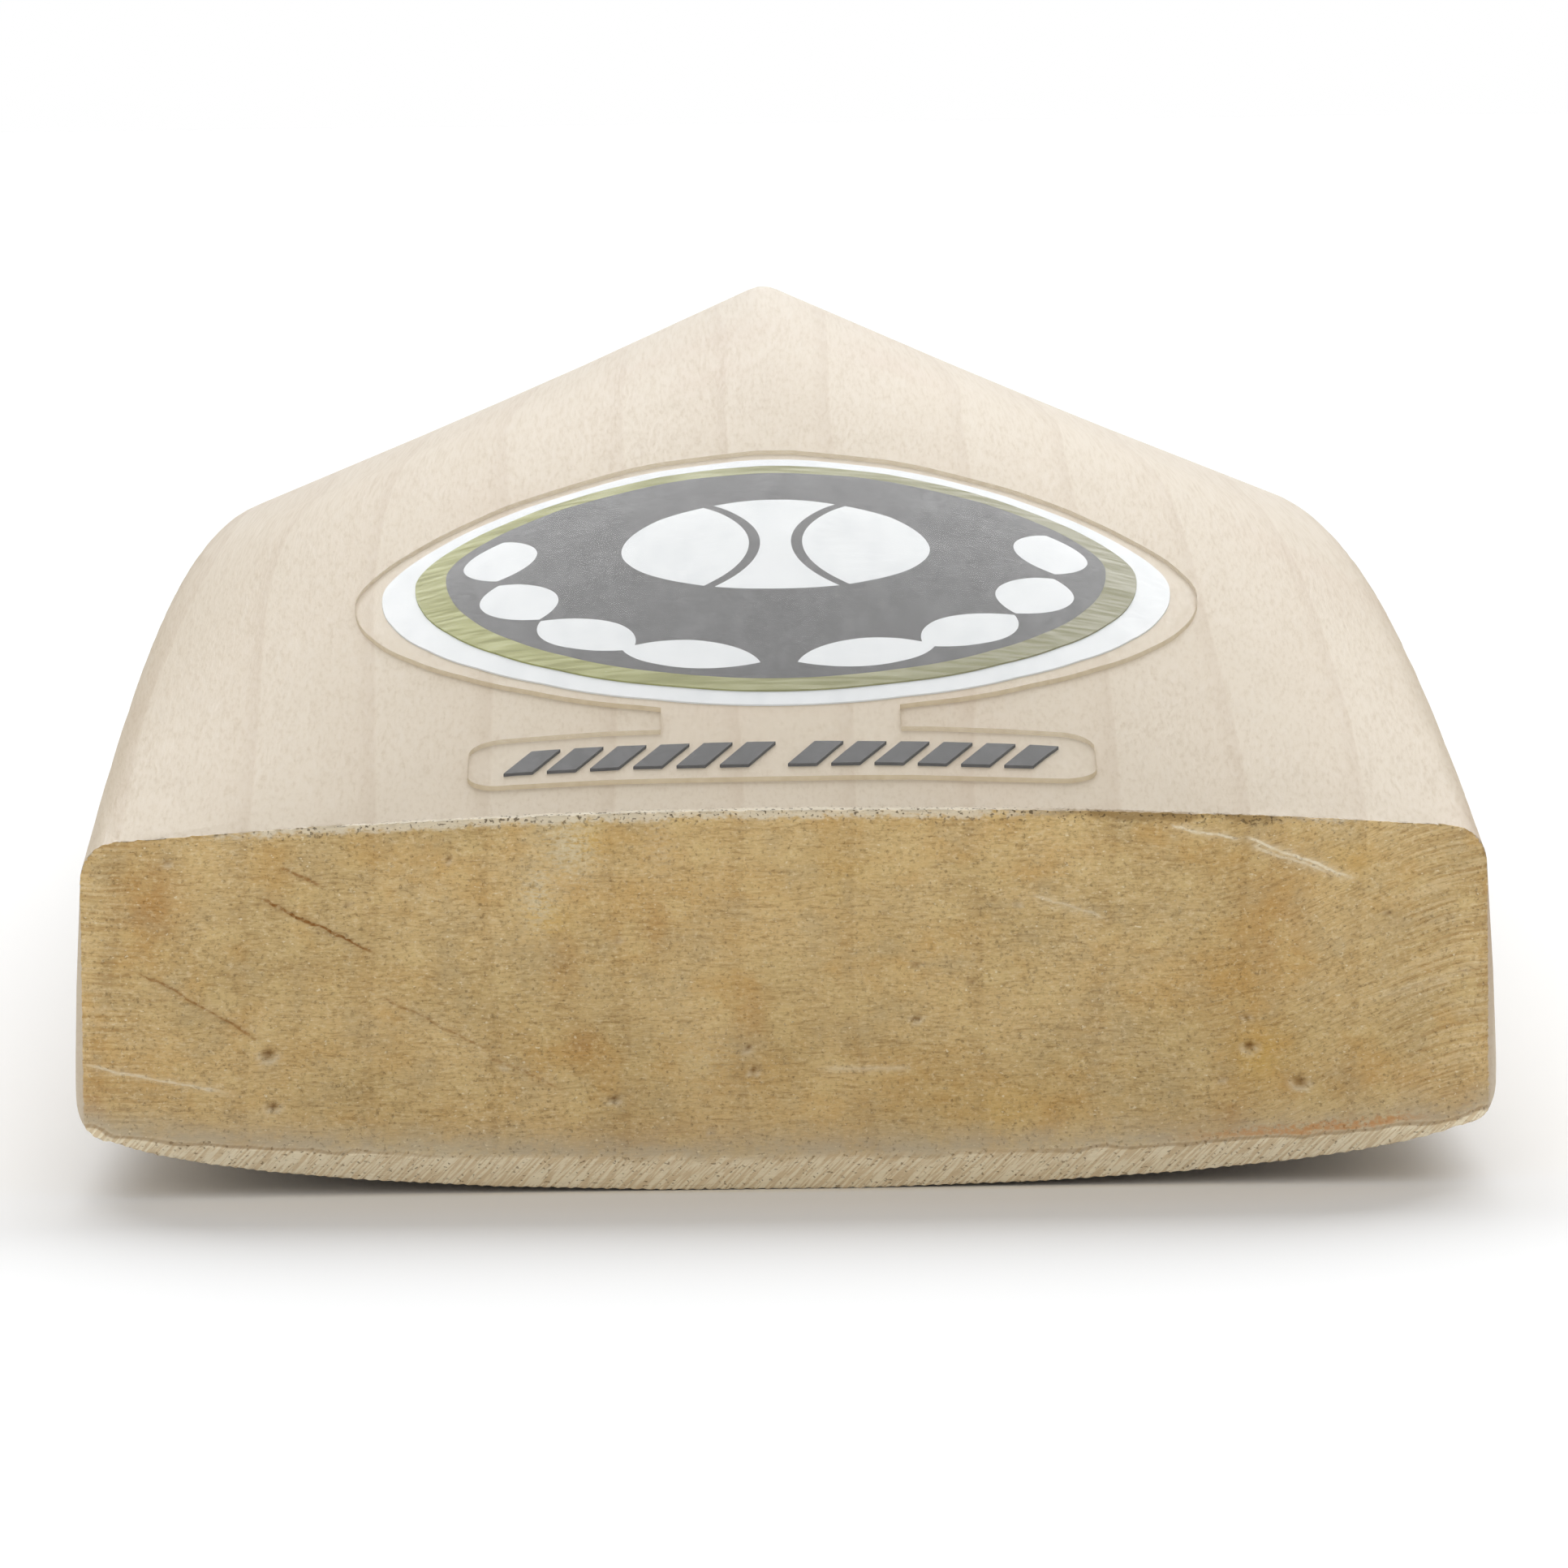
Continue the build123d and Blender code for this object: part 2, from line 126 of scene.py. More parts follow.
# %% A finish and its nodes
def tone(red, green, blue):
    """A colour given as on a paint chart, from 0 to 255, turned into the light that Blender counts in."""
    shares = [step / 255 for step in (red, green, blue)]
    return (*(((share + 0.055) / 1.055) ** 2.4 for share in shares), 1.0)


class Nodes:
    """The nodes of a material or of the world, with none of Blender's own left in."""

    def __init__(self, tree):
        self.tree = tree
        self.tree.nodes.clear()

    def node(self, kind, settings=None, sockets=None, out=0):
        """Adds a node, sets its settings and then its sockets, and returns one of its outputs."""
        node = self.tree.nodes.new(kind)
        for name, value in (settings or {}).items():
            setattr(node, name, value)
        for key, value in (sockets or {}).items():
            plug(node.inputs[key], value)
        return Field(node.outputs[out]) if node.outputs else None


class Finish(Nodes):
    """A material under construction, with lengths in millimetres."""

    def __init__(self, name):
        self.material = bpy.data.materials.new(name)
        self.material.use_nodes = True
        super().__init__(self.material.node_tree)
        surface = self.node("ShaderNodeBsdfPrincipled")
        self.shader = surface.socket.node
        self.node("ShaderNodeOutputMaterial", sockets={"Surface": surface})
        place = self.node("ShaderNodeTexCoord", out="Object")
        self.place = self.node("ShaderNodeVectorMath", {"operation": "SCALE"}, {0: place, "Scale": 1 / MM})
        self.x, self.y, self.z = (
            self.node("ShaderNodeSeparateXYZ", sockets={0: self.place}, out=i) for i in range(3)
        )

    def point(self, x, y, z):
        return self.node("ShaderNodeCombineXYZ", sockets={0: x, 1: y, 2: z})

    def noise_at(self, where, detail=2.0, roughness=0.5, dimensions="3D"):
        """Soft noise from 0 to 1 at a point."""
        sockets = {"Vector": where, "Scale": 1.0, "Detail": detail, "Roughness": roughness}
        return self.node("ShaderNodeTexNoise", {"noise_dimensions": dimensions}, sockets)

    def noise(self, x, y, z, detail=2.0, roughness=0.5):
        """Soft noise on the object. The three numbers say how fast it changes along x, y and z, per mm."""
        return self.noise_at(self.point(self.x * x, self.y * y, self.z * z), detail, roughness)

    def step(self, value, low, high):
        """0 below low, 1 above high, and a smooth rise between them."""
        settings = {"interpolation_type": "SMOOTHSTEP"}
        return self.node("ShaderNodeMapRange", settings, {"Value": value, "From Min": low, "From Max": high})

    def attribute(self, name):
        """A number that the mesh carries at each of its points."""
        return self.node("ShaderNodeAttribute", {"attribute_name": name}, out="Fac")

    def blend(self, share, first, second):
        """Two colours, mixed by a share from 0 to 1."""
        return self.node("ShaderNodeMix", {"data_type": "RGBA"}, {0: share, 6: first, 7: second}, out=2)

    def relief(self, height, distance_mm, strength=1.0):
        """Bumps in the surface, from a height between 0 and 1."""
        sockets = {"Strength": strength, "Distance": distance_mm * MM, "Height": height}
        return self.node("ShaderNodeBump", sockets=sockets)

    def done(self, **sockets):
        """Fills the shader's own sockets, with underscores for spaces, and returns the material."""
        for name, value in sockets.items():
            plug(self.shader.inputs[name.replace("_", " ")], value)
        print("finish", self.material.name, "has", len(self.tree.nodes), "nodes")
        return self.material


# %% [markdown]
# ## The camera first
#
# The camera stands low in front of the toe and looks along the bat through a long lens, so the blade is
# strongly foreshortened and hides its own handle. It could be placed by eye, but a camera is easier to
# repeat when it is described as a tripod is set up: how far in front of the toe it stands, how high, and
# where it points. The distances are in metres and the angles in degrees. The small roll is the tilt of a
# camera that isn't quite level.

# %% Camera
CAMERA_FROM_TOE = 0.7785
CAMERA_HEIGHT = 0.0906
CAMERA_SIDE = -0.0047
CAMERA_PITCH = 4.374
CAMERA_YAW = 0.352
CAMERA_ROLL = -0.716
SENSOR_MM = 36.0
LENS_MM = 237.48
NEAREST_SEEN = 0.05
FARTHEST_SEEN = 30.0

lens = bpy.data.cameras.new("camera")
lens.sensor_width = SENSOR_MM
lens.lens = LENS_MM
lens.clip_start = NEAREST_SEEN
lens.clip_end = FARTHEST_SEEN
camera = bpy.data.objects.new("camera", lens)
camera.location = (CAMERA_SIDE, TOE_Y - CAMERA_FROM_TOE, CAMERA_HEIGHT)
turn = Matrix.Rotation(math.radians(-CAMERA_YAW), 3, "Z")
lean = Matrix.Rotation(math.radians(90 - CAMERA_PITCH), 3, "X")
tilt = Matrix.Rotation(math.radians(CAMERA_ROLL), 3, "Z")
camera.rotation_euler = (turn @ lean @ tilt).to_euler()
bpy.context.scene.collection.objects.link(camera)
bpy.context.scene.camera = camera
print("the camera looks at the toe from", round(CAMERA_FROM_TOE, 2), "m through a", LENS_MM, "mm lens")

# %% [markdown]
# ## A white sweep and soft light
#
# The bat is shown as in a catalogue: on white, with only a soft shadow where the toe meets the table. The
# shadow falls towards the camera, so the main light comes from above and behind. A sun lamp with a very
# large angle acts as a wide panel far away: it lights the whole floor evenly and blurs every shadow. A weak
# panel in front lifts the toe. The rest is a world that is white at the horizon, like the walls of a white
# room, and darker above. The floor is a trace cooler than white, because warm wood tints its own shadow.

# %% Floor, light and world
FLOOR_SIZE = 12.0
SUN_STRENGTH = 2.75
SUN_ANGLE = 50.0
SUN_FROM = (0.08, 1.4, 1.0)
FILL_POWER = 3.2
FILL_FROM = (-0.5, -2.2, 0.7)
FILL_SIZE = 1.4
WALL_STRENGTH = 1.0
CEILING_STRENGTH = 0.5
WALL_TOP = 0.1
CEILING_START = 0.35
FLOOR_TINT = (0.968, 0.974, 0.98, 1.0)
WHITE = (1.0, 1.0, 1.0, 1.0)

floor_mesh = bpy.data.meshes.new("floor")
half = FLOOR_SIZE / 2
floor_corners = [(-half, -half, 0), (half, -half, 0), (half, half, 0), (-half, half, 0)]
floor_mesh.from_pydata(floor_corners, [], [(0, 1, 2, 3)])
floor = bpy.data.objects.new("floor", floor_mesh)
bpy.context.scene.collection.objects.link(floor)
floor_finish = Finish("pale_floor")
floor_mesh.materials.append(floor_finish.done(Base_Color=FLOOR_TINT, Roughness=0.9))


def light_at(name, kind, place, target, **settings):
    """A light that faces a target."""
    light = bpy.data.lights.new(name, kind)
    for setting, value in settings.items():
        setattr(light, setting, value)
    lamp = bpy.data.objects.new(name, light)
    lamp.location = place
    lamp.rotation_euler = (Vector(target) - Vector(place)).to_track_quat("-Z", "Y").to_euler()
    bpy.context.scene.collection.objects.link(lamp)


light_at("wide_sun", "SUN", SUN_FROM, (0, 0, 0), energy=SUN_STRENGTH, angle=math.radians(SUN_ANGLE))
light_at("front_fill", "AREA", FILL_FROM, (0, TOE_Y, 0), energy=FILL_POWER, size=FILL_SIZE)

world = bpy.data.worlds.new("white_room")
world.use_nodes = True
room = Nodes(world.node_tree)
direction = room.node("ShaderNodeTexCoord", out="Generated")
upward = room.node("ShaderNodeSeparateXYZ", sockets={0: direction}, out="Z")
heights = {"From Min": WALL_TOP, "From Max": CEILING_START}
strengths = {"To Min": WALL_STRENGTH, "To Max": CEILING_STRENGTH}
glow = room.node("ShaderNodeMapRange", sockets={"Value": upward, **heights, **strengths})
backdrop = room.node("ShaderNodeBackground", sockets={"Color": WHITE, "Strength": glow})
room.node("ShaderNodeOutputWorld", sockets={"Surface": backdrop})
bpy.context.scene.world = world
bpy.context.scene.view_settings.view_transform = "Standard"
print("one wide sun, a fill light and a white room, over a floor", FLOOR_SIZE, "m across")

# %% [markdown]
# ## Meshes from the frame
#
# A CAD mesh has large flat triangles where the surface is flat, and that is right for a machine. Worn wood
# needs many small faces, but only where it is worn. The helpers here take a copy of a CAD piece, weld it,
# and slice it with parallel planes. Slicing halves the work at each step: the middle plane cuts first, and
# then each side is cut on its own, so each plane only ever meets the few faces that it crosses.


# %% Copying, slicing and adding pieces
WELD_SEAM = 0.002
PLANE_SLACK = 1e-5
SAME_PLACE = 1e-6


def welded(node, keep=None):
    """A CAD piece as a bmesh in millimetres with its seams joined, or only those faces that keep() likes."""
    bm = bmesh.new()
    bm.from_mesh(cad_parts[node].data)
    bmesh.ops.scale(bm, vec=(1 / MM,) * 3, verts=bm.verts)
    if keep is not None:
        bm.normal_update()
        bmesh.ops.delete(bm, geom=[f for f in bm.faces if not keep(f)], context="FACES")
    bmesh.ops.remove_doubles(bm, verts=bm.verts, dist=WELD_SEAM)
    bm.normal_update()
    return bm


def slice_faces(bm, faces, axis, stops):
    """Cuts the faces at each stop along an axis, and returns them with their new neighbours."""
    if not faces or not stops:
        return faces
    middle = stops[len(stops) // 2]
    below, above, crossed = [], [], []
    for face in faces:
        reach = [v.co[axis] - middle for v in face.verts]
        if max(reach) <= SAME_PLACE:
            below.append(face)
        elif min(reach) >= -SAME_PLACE:
            above.append(face)
        else:
            crossed.append(face)
    if crossed:
        normal = Vector((0, 0, 0))
        normal[axis] = 1.0
        point = normal * middle
        edges = {e for f in crossed for e in f.edges}
        verts = {v for f in crossed for v in f.verts}
        cut = bmesh.ops.bisect_plane(
            bm, geom=[*verts, *edges, *crossed], dist=PLANE_SLACK, plane_co=point, plane_no=normal
        )
        for face in cut["geom"]:
            if isinstance(face, bmesh.types.BMFace):
                group = below if face.calc_center_median()[axis] < middle else above
                group.append(face)
    low_stops = stops[: len(stops) // 2]
    high_stops = stops[len(stops) // 2 + 1 :]
    return slice_faces(bm, below, axis, low_stops) + slice_faces(bm, above, axis, high_stops)


def search_tree(mesh):
    """A mesh's faces, sorted so that a ray finds the one it hits quickly."""
    return BVHTree.FromPolygons([v.co.copy() for v in mesh.vertices], [p.vertices[:] for p in mesh.polygons])


def stops_between(low, high, step):
    """Evenly spaced places for cuts, the first of them half a step in."""
    return [float(v) for v in np.arange(low + step / 2, high, step)]


def add_piece(name, bm, materials, node, sharp_degrees=35.0):
    """Turns a bmesh in millimetres into a smooth piece that stands for a CAD node."""
    bmesh.ops.scale(bm, vec=(MM,) * 3, verts=bm.verts)
    mesh = bpy.data.meshes.new(name)
    bm.to_mesh(mesh)
    bm.free()
    mesh.polygons.foreach_set("use_smooth", [True] * len(mesh.polygons))
    mesh.set_sharp_from_angle(angle=math.radians(sharp_degrees))
    for material in materials:
        mesh.materials.append(material)
    piece = bpy.data.objects.new(name, mesh)
    bpy.context.scene.collection.objects.link(piece)
    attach(piece, "root")
    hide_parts(node)
    print(name, "has", len(mesh.polygons), "faces")
    return piece


def smooth_between(value, low, high):
    """0 below low, 1 above high, for numbers and arrays."""
    share = np.clip((value - low) / (high - low), 0.0, 1.0)
    return share * share * (3 - 2 * share)


# %% [markdown]
# ## The blade, and its worn toe
#
# The blade is one cleft of willow. Its long faces were planed and sanded, so they stay as the CAD made
# them. The toe is end grain: the saw cut straight across the fibres, and then the bat stood on it, was
# tapped on it and scraped along the ground. The cut fibres show as short level dashes, with little pits,
# scratches and stains. All of that is a few tenths of a millimetre deep, but it is what the eye sees first.
#
# The toe is sliced into cells of a third of a millimetre, and each point is then moved along its normal. The
# marks are listed in millimetres, as a model maker would scratch them in, and the rest is noise.

# %% Slice the toe
TOE_CELL = 0.34
TOE_REACH = 3.2
TOE_TOP = 32.0
DEPTH_CELL = 0.5
FIRST_DEPTH = 0.2
SMALLEST_EDGE = 0.004

toe_y = TOE_Y / MM
blade_low, blade_high = (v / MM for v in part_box("blade"))

blade_bm = welded("blade")
bmesh.ops.bisect_plane(
    blade_bm, geom=[*blade_bm.verts, *blade_bm.edges, *blade_bm.faces], dist=PLANE_SLACK,
    plane_co=(0, toe_y + TOE_REACH, 0), plane_no=(0, 1, 0),
)
near_toe = [f for f in blade_bm.faces if f.calc_center_median().y < toe_y + TOE_REACH]
cuts_across = stops_between(blade_low.x, blade_high.x, TOE_CELL)
cuts_up = stops_between(blade_low.z, TOE_TOP, TOE_CELL)
cuts_behind = stops_between(toe_y + FIRST_DEPTH, toe_y + TOE_REACH, DEPTH_CELL)
for axis, cuts in ((0, cuts_across), (2, cuts_up), (1, cuts_behind)):
    near_toe = slice_faces(blade_bm, near_toe, axis, cuts)
bmesh.ops.remove_doubles(blade_bm, verts=blade_bm.verts, dist=SMALLEST_EDGE)
bmesh.ops.triangulate(blade_bm, faces=[f for f in blade_bm.faces if len(f.verts) > 4])
blade_bm.normal_update()
print("the blade has", len(blade_bm.faces), "faces,", len(near_toe), "of them at the toe")

# %% [markdown]
# ### Marks on the toe
#
# Each scratch is a line from one point to another, in millimetres across and up. Each pit is a small round
# dent with a raised, paler lip. Stains only colour the wood. A mark is a function of the distance to a line
# or point, so one formula serves them all.

# %% Scratches, pits, scuffs and stains
SCRATCHES = [
    # from x, z to x, z, depth, width, how pale
    (-49.4, 17.7, -39.2, 11.7, 0.16, 0.30, -0.7),
    (-39.8, 22.9, -30.5, 18.4, 0.20, 0.26, -1.0),
    (-38.2, 25.2, -34.6, 23.6, 0.12, 0.22, -0.7),
    (-53.5, 10.3, -41.7, 8.0, 0.10, 0.20, 0.6),
    (-31.0, 15.5, -21.8, 10.8, 0.07, 0.25, -0.5),
    (-22.5, 10.6, -16.5, 7.9, 0.07, 0.25, -0.4),
    (2.4, 9.3, 9.9, 9.5, 0.06, 0.18, 0.7),
    (29.1, 27.5, 34.7, 26.4, 0.10, 0.24, 0.9),
    (34.7, 26.6, 43.4, 23.1, 0.18, 0.30, 1.0),
    (35.2, 25.9, 41.5, 23.6, 0.12, 0.24, 0.6),
    (18.6, 22.4, 24.6, 20.4, 0.08, 0.22, 0.4),
    (40.5, 18.4, 52.0, 20.6, 0.06, 0.20, -0.4),
    (44.0, 14.0, 53.0, 16.6, 0.05, 0.20, 0.4),
    (22.5, 12.6, 33.0, 7.6, 0.05, 0.22, -0.35),
]
PITS = [
    # x, z, radius, depth
    (-39.2, 11.0, 0.55, 0.45), (-38.9, 7.0, 0.45, 0.40), (-13.1, 7.3, 0.40, 0.35), (-2.5, 9.3, 0.35, 0.30),
    (9.9, 17.3, 0.30, 0.25), (9.9, 13.2, 0.35, 0.30), (35.1, 10.7, 0.50, 0.45), (-2.9, 11.0, 0.28, 0.30),
    (-5.7, 4.8, 0.26, 0.35), (-12.6, 19.4, 0.26, 0.30), (38.9, 7.9, 0.55, 0.30), (33.0, 8.2, 0.24, 0.30),
    (34.9, 12.9, 0.30, 0.20), (-46.6, 25.6, 0.28, 0.20), (17.6, 21.8, 0.24, 0.25), (45.6, 20.6, 0.22, 0.25),
    (-25.3, 25.6, 0.24, 0.20), (-33.0, 22.4, 0.24, 0.20), (-21.4, 9.9, 0.22, 0.25), (14.0, 15.9, 0.26, 0.20),
]
PIT_SCALE = 0.7
STAINS = [
    # x, z, half width, half height, strength
    (-47.9, 22.4, 2.2, 3.4, 0.9), (-16.8, 17.9, 1.2, 2.8, 0.5), (-15.3, 11.4, 1.4, 1.2, 0.8),
    (-9.7, 20.6, 1.0, 2.2, 0.5), (-2.5, 13.7, 1.2, 3.0, 0.5), (37.6, 7.9, 0.9, 0.9, 0.6),
    (37.2, 20.0, 2.6, 4.6, 0.6), (50.5, 6.0, 2.0, 1.6, 0.5), (-52.6, 6.2, 1.2, 3.0, 0.7),
    (19.8, 5.6, 1.4, 1.8, 0.6), (33.8, 4.8, 1.2, 2.0, 0.5), (-41.0, 3.8, 6.0, 1.2, 0.5),
    (-10.0, 4.2, 7.0, 1.6, 0.4), (3.5, 3.2, 5.0, 1.4, 0.35), (45.5, 8.0, 5.0, 1.2, 0.4),
]
YELLOWS = [
    (36.0, 10.0, 2.0, 1.8, 0.9), (16.7, 5.9, 4.0, 2.2, 0.6), (-14.6, 26.8, 1.5, 1.2, 0.9),
    (-17.8, 21.0, 1.6, 1.2, 0.8), (43.0, 24.5, 2.0, 1.5, 0.5), (4.5, 24.0, 2.0, 2.0, 0.3),
]
SCUFFS = [
    (-16.2, 26.5, 2.2, 2.6, 0.8), (-18.6, 22.6, 1.3, 2.6, 0.8), (-9.4, 26.6, 1.0, 2.6, 0.4),
    (-5.7, 10.6, 2.4, 2.0, 0.3), (-28.0, 2.8, 6.0, 1.2, 0.45), (28.0, 2.6, 8.0, 1.0, 0.5),
]


def soft_noise(x, z, layer=0.0):
    """Noise from about -1 to 1 over the toe. Each layer number gives a different one."""
    return np.array([noise.noise(Vector((px, layer, pz))) for px, pz in zip(x, z)])


def spots(x, z, places):
    """The strongest of some soft-edged spots at each point."""
    strongest = np.zeros(len(x))
    for at_x, at_z, half_width, half_height, strength in places:
        away = ((x - at_x) / half_width) ** 2 + ((z - at_z) / half_height) ** 2
        strongest = np.maximum(strongest, strength * np.exp(-away))
    return strongest


def line_distance(x, z, line):
    """How far each point is from a line, and how far along it lies, from 0 to 1."""
    x0, z0, x1, z1 = line
    length_2 = (x1 - x0) ** 2 + (z1 - z0) ** 2
    along = np.clip(((x - x0) * (x1 - x0) + (z - z0) * (z1 - z0)) / length_2, 0.0, 1.0)
    return np.hypot(x - x0 - along * (x1 - x0), z - z0 - along * (z1 - z0)), along


# %% [markdown]
# ### From marks to a surface
#
# Sculpting by hand would do this on the real mesh, but it can't be repeated or changed later. Here each mark
# adds to one number, how deep a point lies under the sawn face, and all points are worked out at once as
# arrays. Near both sides the face also has the nearly level marks of saw teeth, and the bevel underneath has
# slanting strokes, as a rasp leaves them. The layers that will hold values for the finish are made first,
# because a new layer makes Blender forget the points that Python already knows.

# %% Work the marks into the toe
TEETH_SPACING = 0.95
HATCH_SPACING = 1.0
ON_GRAIN = ("toe_grain", "rolled_edge", "grey_hem", "fray")
IN_MARKS = ("groove", "pale_fibre", "stain", "yellow", "scuff")

for mark in ON_GRAIN + IN_MARKS:
    blade_bm.verts.layers.float.new(mark)
near = [v for v in blade_bm.verts if v.co.y < toe_y + TOE_REACH + 0.01]
co = np.array([v.co for v in near])
normals = np.array([v.normal for v in near])
x, _, z = co.T
faces_out = smooth_between(-normals[:, 1], 0.45, 0.8)
rolled = smooth_between(-normals[:, 2], 0.22, 0.5) * smooth_between(-normals[:, 1], 0.05, 0.3)

rough = 0.055 * soft_noise(x / 2.6, z / 0.5) + 0.05 * soft_noise(x / 0.7, z / 0.6)
at_left = smooth_between(-x, 46.0, 51.0)
at_right = smooth_between(x, 42.0, 51.0)
teeth_wave = np.sin((z - 0.13 * x + 0.5 * soft_noise(x / 5, z / 3)) * 2 * math.pi / TEETH_SPACING)
rough += 0.045 * teeth_wave * np.maximum(at_left, at_right)
depth = np.zeros(len(x))
pale = np.zeros(len(x))
groove = np.zeros(len(x))
wander_x = x + 0.25 * soft_noise(x / 1.5, z / 1.5, layer=3)
wander_z = z + 0.15 * soft_noise(x / 1.2, z, layer=7)
for *ends, deep, wide, paleness in SCRATCHES:
    away, along = line_distance(wander_x, wander_z, ends)
    taper = np.clip(np.minimum(along, 1 - along) * 5 + 0.25, 0, 1)
    shape = np.exp(-((away / (0.7 * wide)) ** 2)) * taper
    depth += deep * shape
    groove = np.maximum(groove, 0.45 * shape * max(0.0, -paleness))
    lip = np.exp(-(((away - 1.6 * wide) / wide) ** 2)) * taper
    pale = np.maximum(pale, shape * max(0.0, paleness) + 0.12 * lip)
for at_x, at_z, pit_size, deep in PITS:
    radius = pit_size * PIT_SCALE
    away = np.hypot((x - at_x) / 1.3, z - at_z)
    hole = np.exp(-((away / radius) ** 2))
    lip = np.exp(-(((away - 1.5 * radius) / (0.5 * radius)) ** 2))
    depth += deep * hole - 0.06 * lip
    groove = np.maximum(groove, hole)
    pale = np.maximum(pale, lip * 0.9 * smooth_between(at_z - z + 0.3 * radius, -0.3, 0.5))
hatch = np.sin((x - 0.9 * z + 0.4 * soft_noise(x / 4, z / 4)) * 2 * math.pi / HATCH_SPACING)
moved = faces_out * (rough - depth) * (1 - rolled) + rolled * 0.05 * hatch
co = co + normals * moved[:, None]
for vert, place in zip(near, co):
    vert.co = Vector(place)
print(len(near), "points at the toe, moved by up to", round(float(np.abs(moved).max()), 2), "mm")

# %% [markdown]
# ### What the finish has to know
#
# Colour has to change where the shape does, so each point gets its values from the same sums: whether it
# lies in a groove, in a stain or on the bevel. The hem is the line where the flat toe turns under. For each
# stretch across the bat it lies as high as the highest point that has turned under, and dirt settles just
# above it.

# %% Values for the finish
HEM_BIN = 1.5
HEM_HEIGHT = 1.7
HEM_IF_NONE = 3.0

hem_bins = np.arange(blade_low.x, blade_high.x, HEM_BIN)
turned_under = [z[(rolled > 0.5) & (abs(x - at) < HEM_BIN)] for at in hem_bins]
hem_line = np.interp(x, hem_bins, [part.max() if len(part) else HEM_IF_NONE for part in turned_under])
above_hem = z - hem_line + 0.3 * soft_noise(x / 2.5, z, layer=5)
under = 1 - smooth_between(above_hem, -0.3, 0.45)
hem = (1 - under) * np.exp(-((above_hem / HEM_HEIGHT) ** 2))
layer_values = {
    "toe_grain": np.maximum(faces_out, rolled),
    "rolled_edge": under * (normals[:, 1] < 0),
    "grey_hem": hem,
    "groove": groove,
    "pale_fibre": pale,
    "stain": spots(x, z, STAINS),
    "yellow": spots(x, z, YELLOWS),
    "scuff": spots(x, z, SCUFFS),
}
for name, values in layer_values.items():
    layer = blade_bm.verts.layers.float[name]
    for vert, value in zip(near, values):
        vert[layer] = float(value)
print("the flat toe turns under", round(float(hem_line.min()), 1), "mm up or more")

# %% [markdown]
# ### The frayed rim
#
# Where the toe meets the back, the cut fibres stand up as a pale fuzz, darker where dirt has got in. The
# rim is the fold in the mesh between faces that look up and faces that look along the bat. Its points are
# pushed about a little, and each point nearby learns how close the rim is, so that the finish can whiten it.

# %% Fray the rim
RIM_WIDTH = 0.7
RIM_ROUGHNESS = 0.16
RIM_LOWEST = 25.0
RIM_GRAIN = 0.55

blade_bm.normal_update()
rim = {
    v for e in blade_bm.edges if len(e.link_faces) == 2 and e.verts[0].co.y < toe_y + TOE_REACH
    and min(v.co.z for v in e.verts) > RIM_LOWEST
    and min(f.normal.y for f in e.link_faces) < -0.7 and max(f.normal.z for f in e.link_faces) > 0.7
    for v in e.verts
}
for vert in rim:
    where = vert.co / RIM_GRAIN
    vert.co += RIM_ROUGHNESS * Vector((0.0, noise.noise(where), noise.noise(where + Vector((9, 9, 9)))))
rim_line = np.array(sorted((v.co.x, v.co.z) for v in rim))
fray = blade_bm.verts.layers.float["fray"]
rim_z = np.interp(co[:, 0], rim_line[:, 0], rim_line[:, 1])
below_rim = np.clip(rim_z - co[:, 2], 0, None)
behind_rim = np.clip(co[:, 1] - toe_y - 0.3, 0, None)
for vert, down, back in zip(near, below_rim, behind_rim):
    vert[fray] = float(np.exp(-((down / RIM_WIDTH) ** 2 + (back / (0.7 * RIM_WIDTH)) ** 2)))
print("the rim has", len(rim), "points")

# %% [markdown]
# ### Willow, along and across the grain
#
# One material covers the blade, because it is one piece of wood. Growth rings are nearly upright sheets
# that run the length of the blade, so one number, how far across the blade a point is, gives the rings on
# the back and on the toe alike. A little noise makes the sheets wander. Between them the two looks differ:
# along the grain the wood is pale and silky, with fibres as long hairs, and across the grain it is darker,
# with short level dashes and pores. The mesh carries a mask that says which is which.

# %% Willow finish
RING_SPACING = 9.5
RING_WANDER = 3.2

willow = Finish("willow_wood")
toe_grain = willow.attribute("toe_grain")
rolled_edge = willow.attribute("rolled_edge")
wander = willow.noise(0.05, 0.006, 0.03, detail=1.0) - 0.5
ring_place = (willow.x + wander * (2 * RING_WANDER) + 3.0) / RING_SPACING
ring_phase = ring_place.fraction()
ring_line = willow.step(ring_phase, 0.80, 0.97) * (1 - willow.step(ring_phase, 0.975, 1.0))
summer_wood = willow.step(ring_phase, 0.25, 0.95)

hairs = willow.noise(3.2, 0.05, 3.2, detail=3.0, roughness=0.6)
flecks = willow.noise(1.1, 0.012, 1.1, detail=2.0)
blush = willow.noise(0.035, 0.012, 0.03, detail=2.0)
long_grain = willow.blend(summer_wood * 0.3, tone(209, 195, 173), tone(203, 186, 162))
long_grain = willow.blend(ring_line * (0.08 + blush * 0.2), long_grain, tone(176, 152, 124))
long_grain = willow.blend(willow.step(blush, 0.5, 0.75) * 0.5, long_grain, tone(201, 177, 154))
long_grain = willow.blend(willow.step(hairs, 0.45, 0.8) * 0.3, long_grain, tone(180, 160, 134))
long_grain = willow.blend(willow.step(flecks, 0.5, 0.75) * 0.3, long_grain, tone(212, 200, 182))
# Painted shade: the back is painted darker from about 40 to 330 mm behind the toe, so that its far part looks
# less lit than the part near the toe.
painted_far_shade = willow.step(willow.y, toe_y + 40.0, toe_y + 330.0)
long_grain = willow.blend(painted_far_shade * 0.6, long_grain, tone(188, 178, 164))

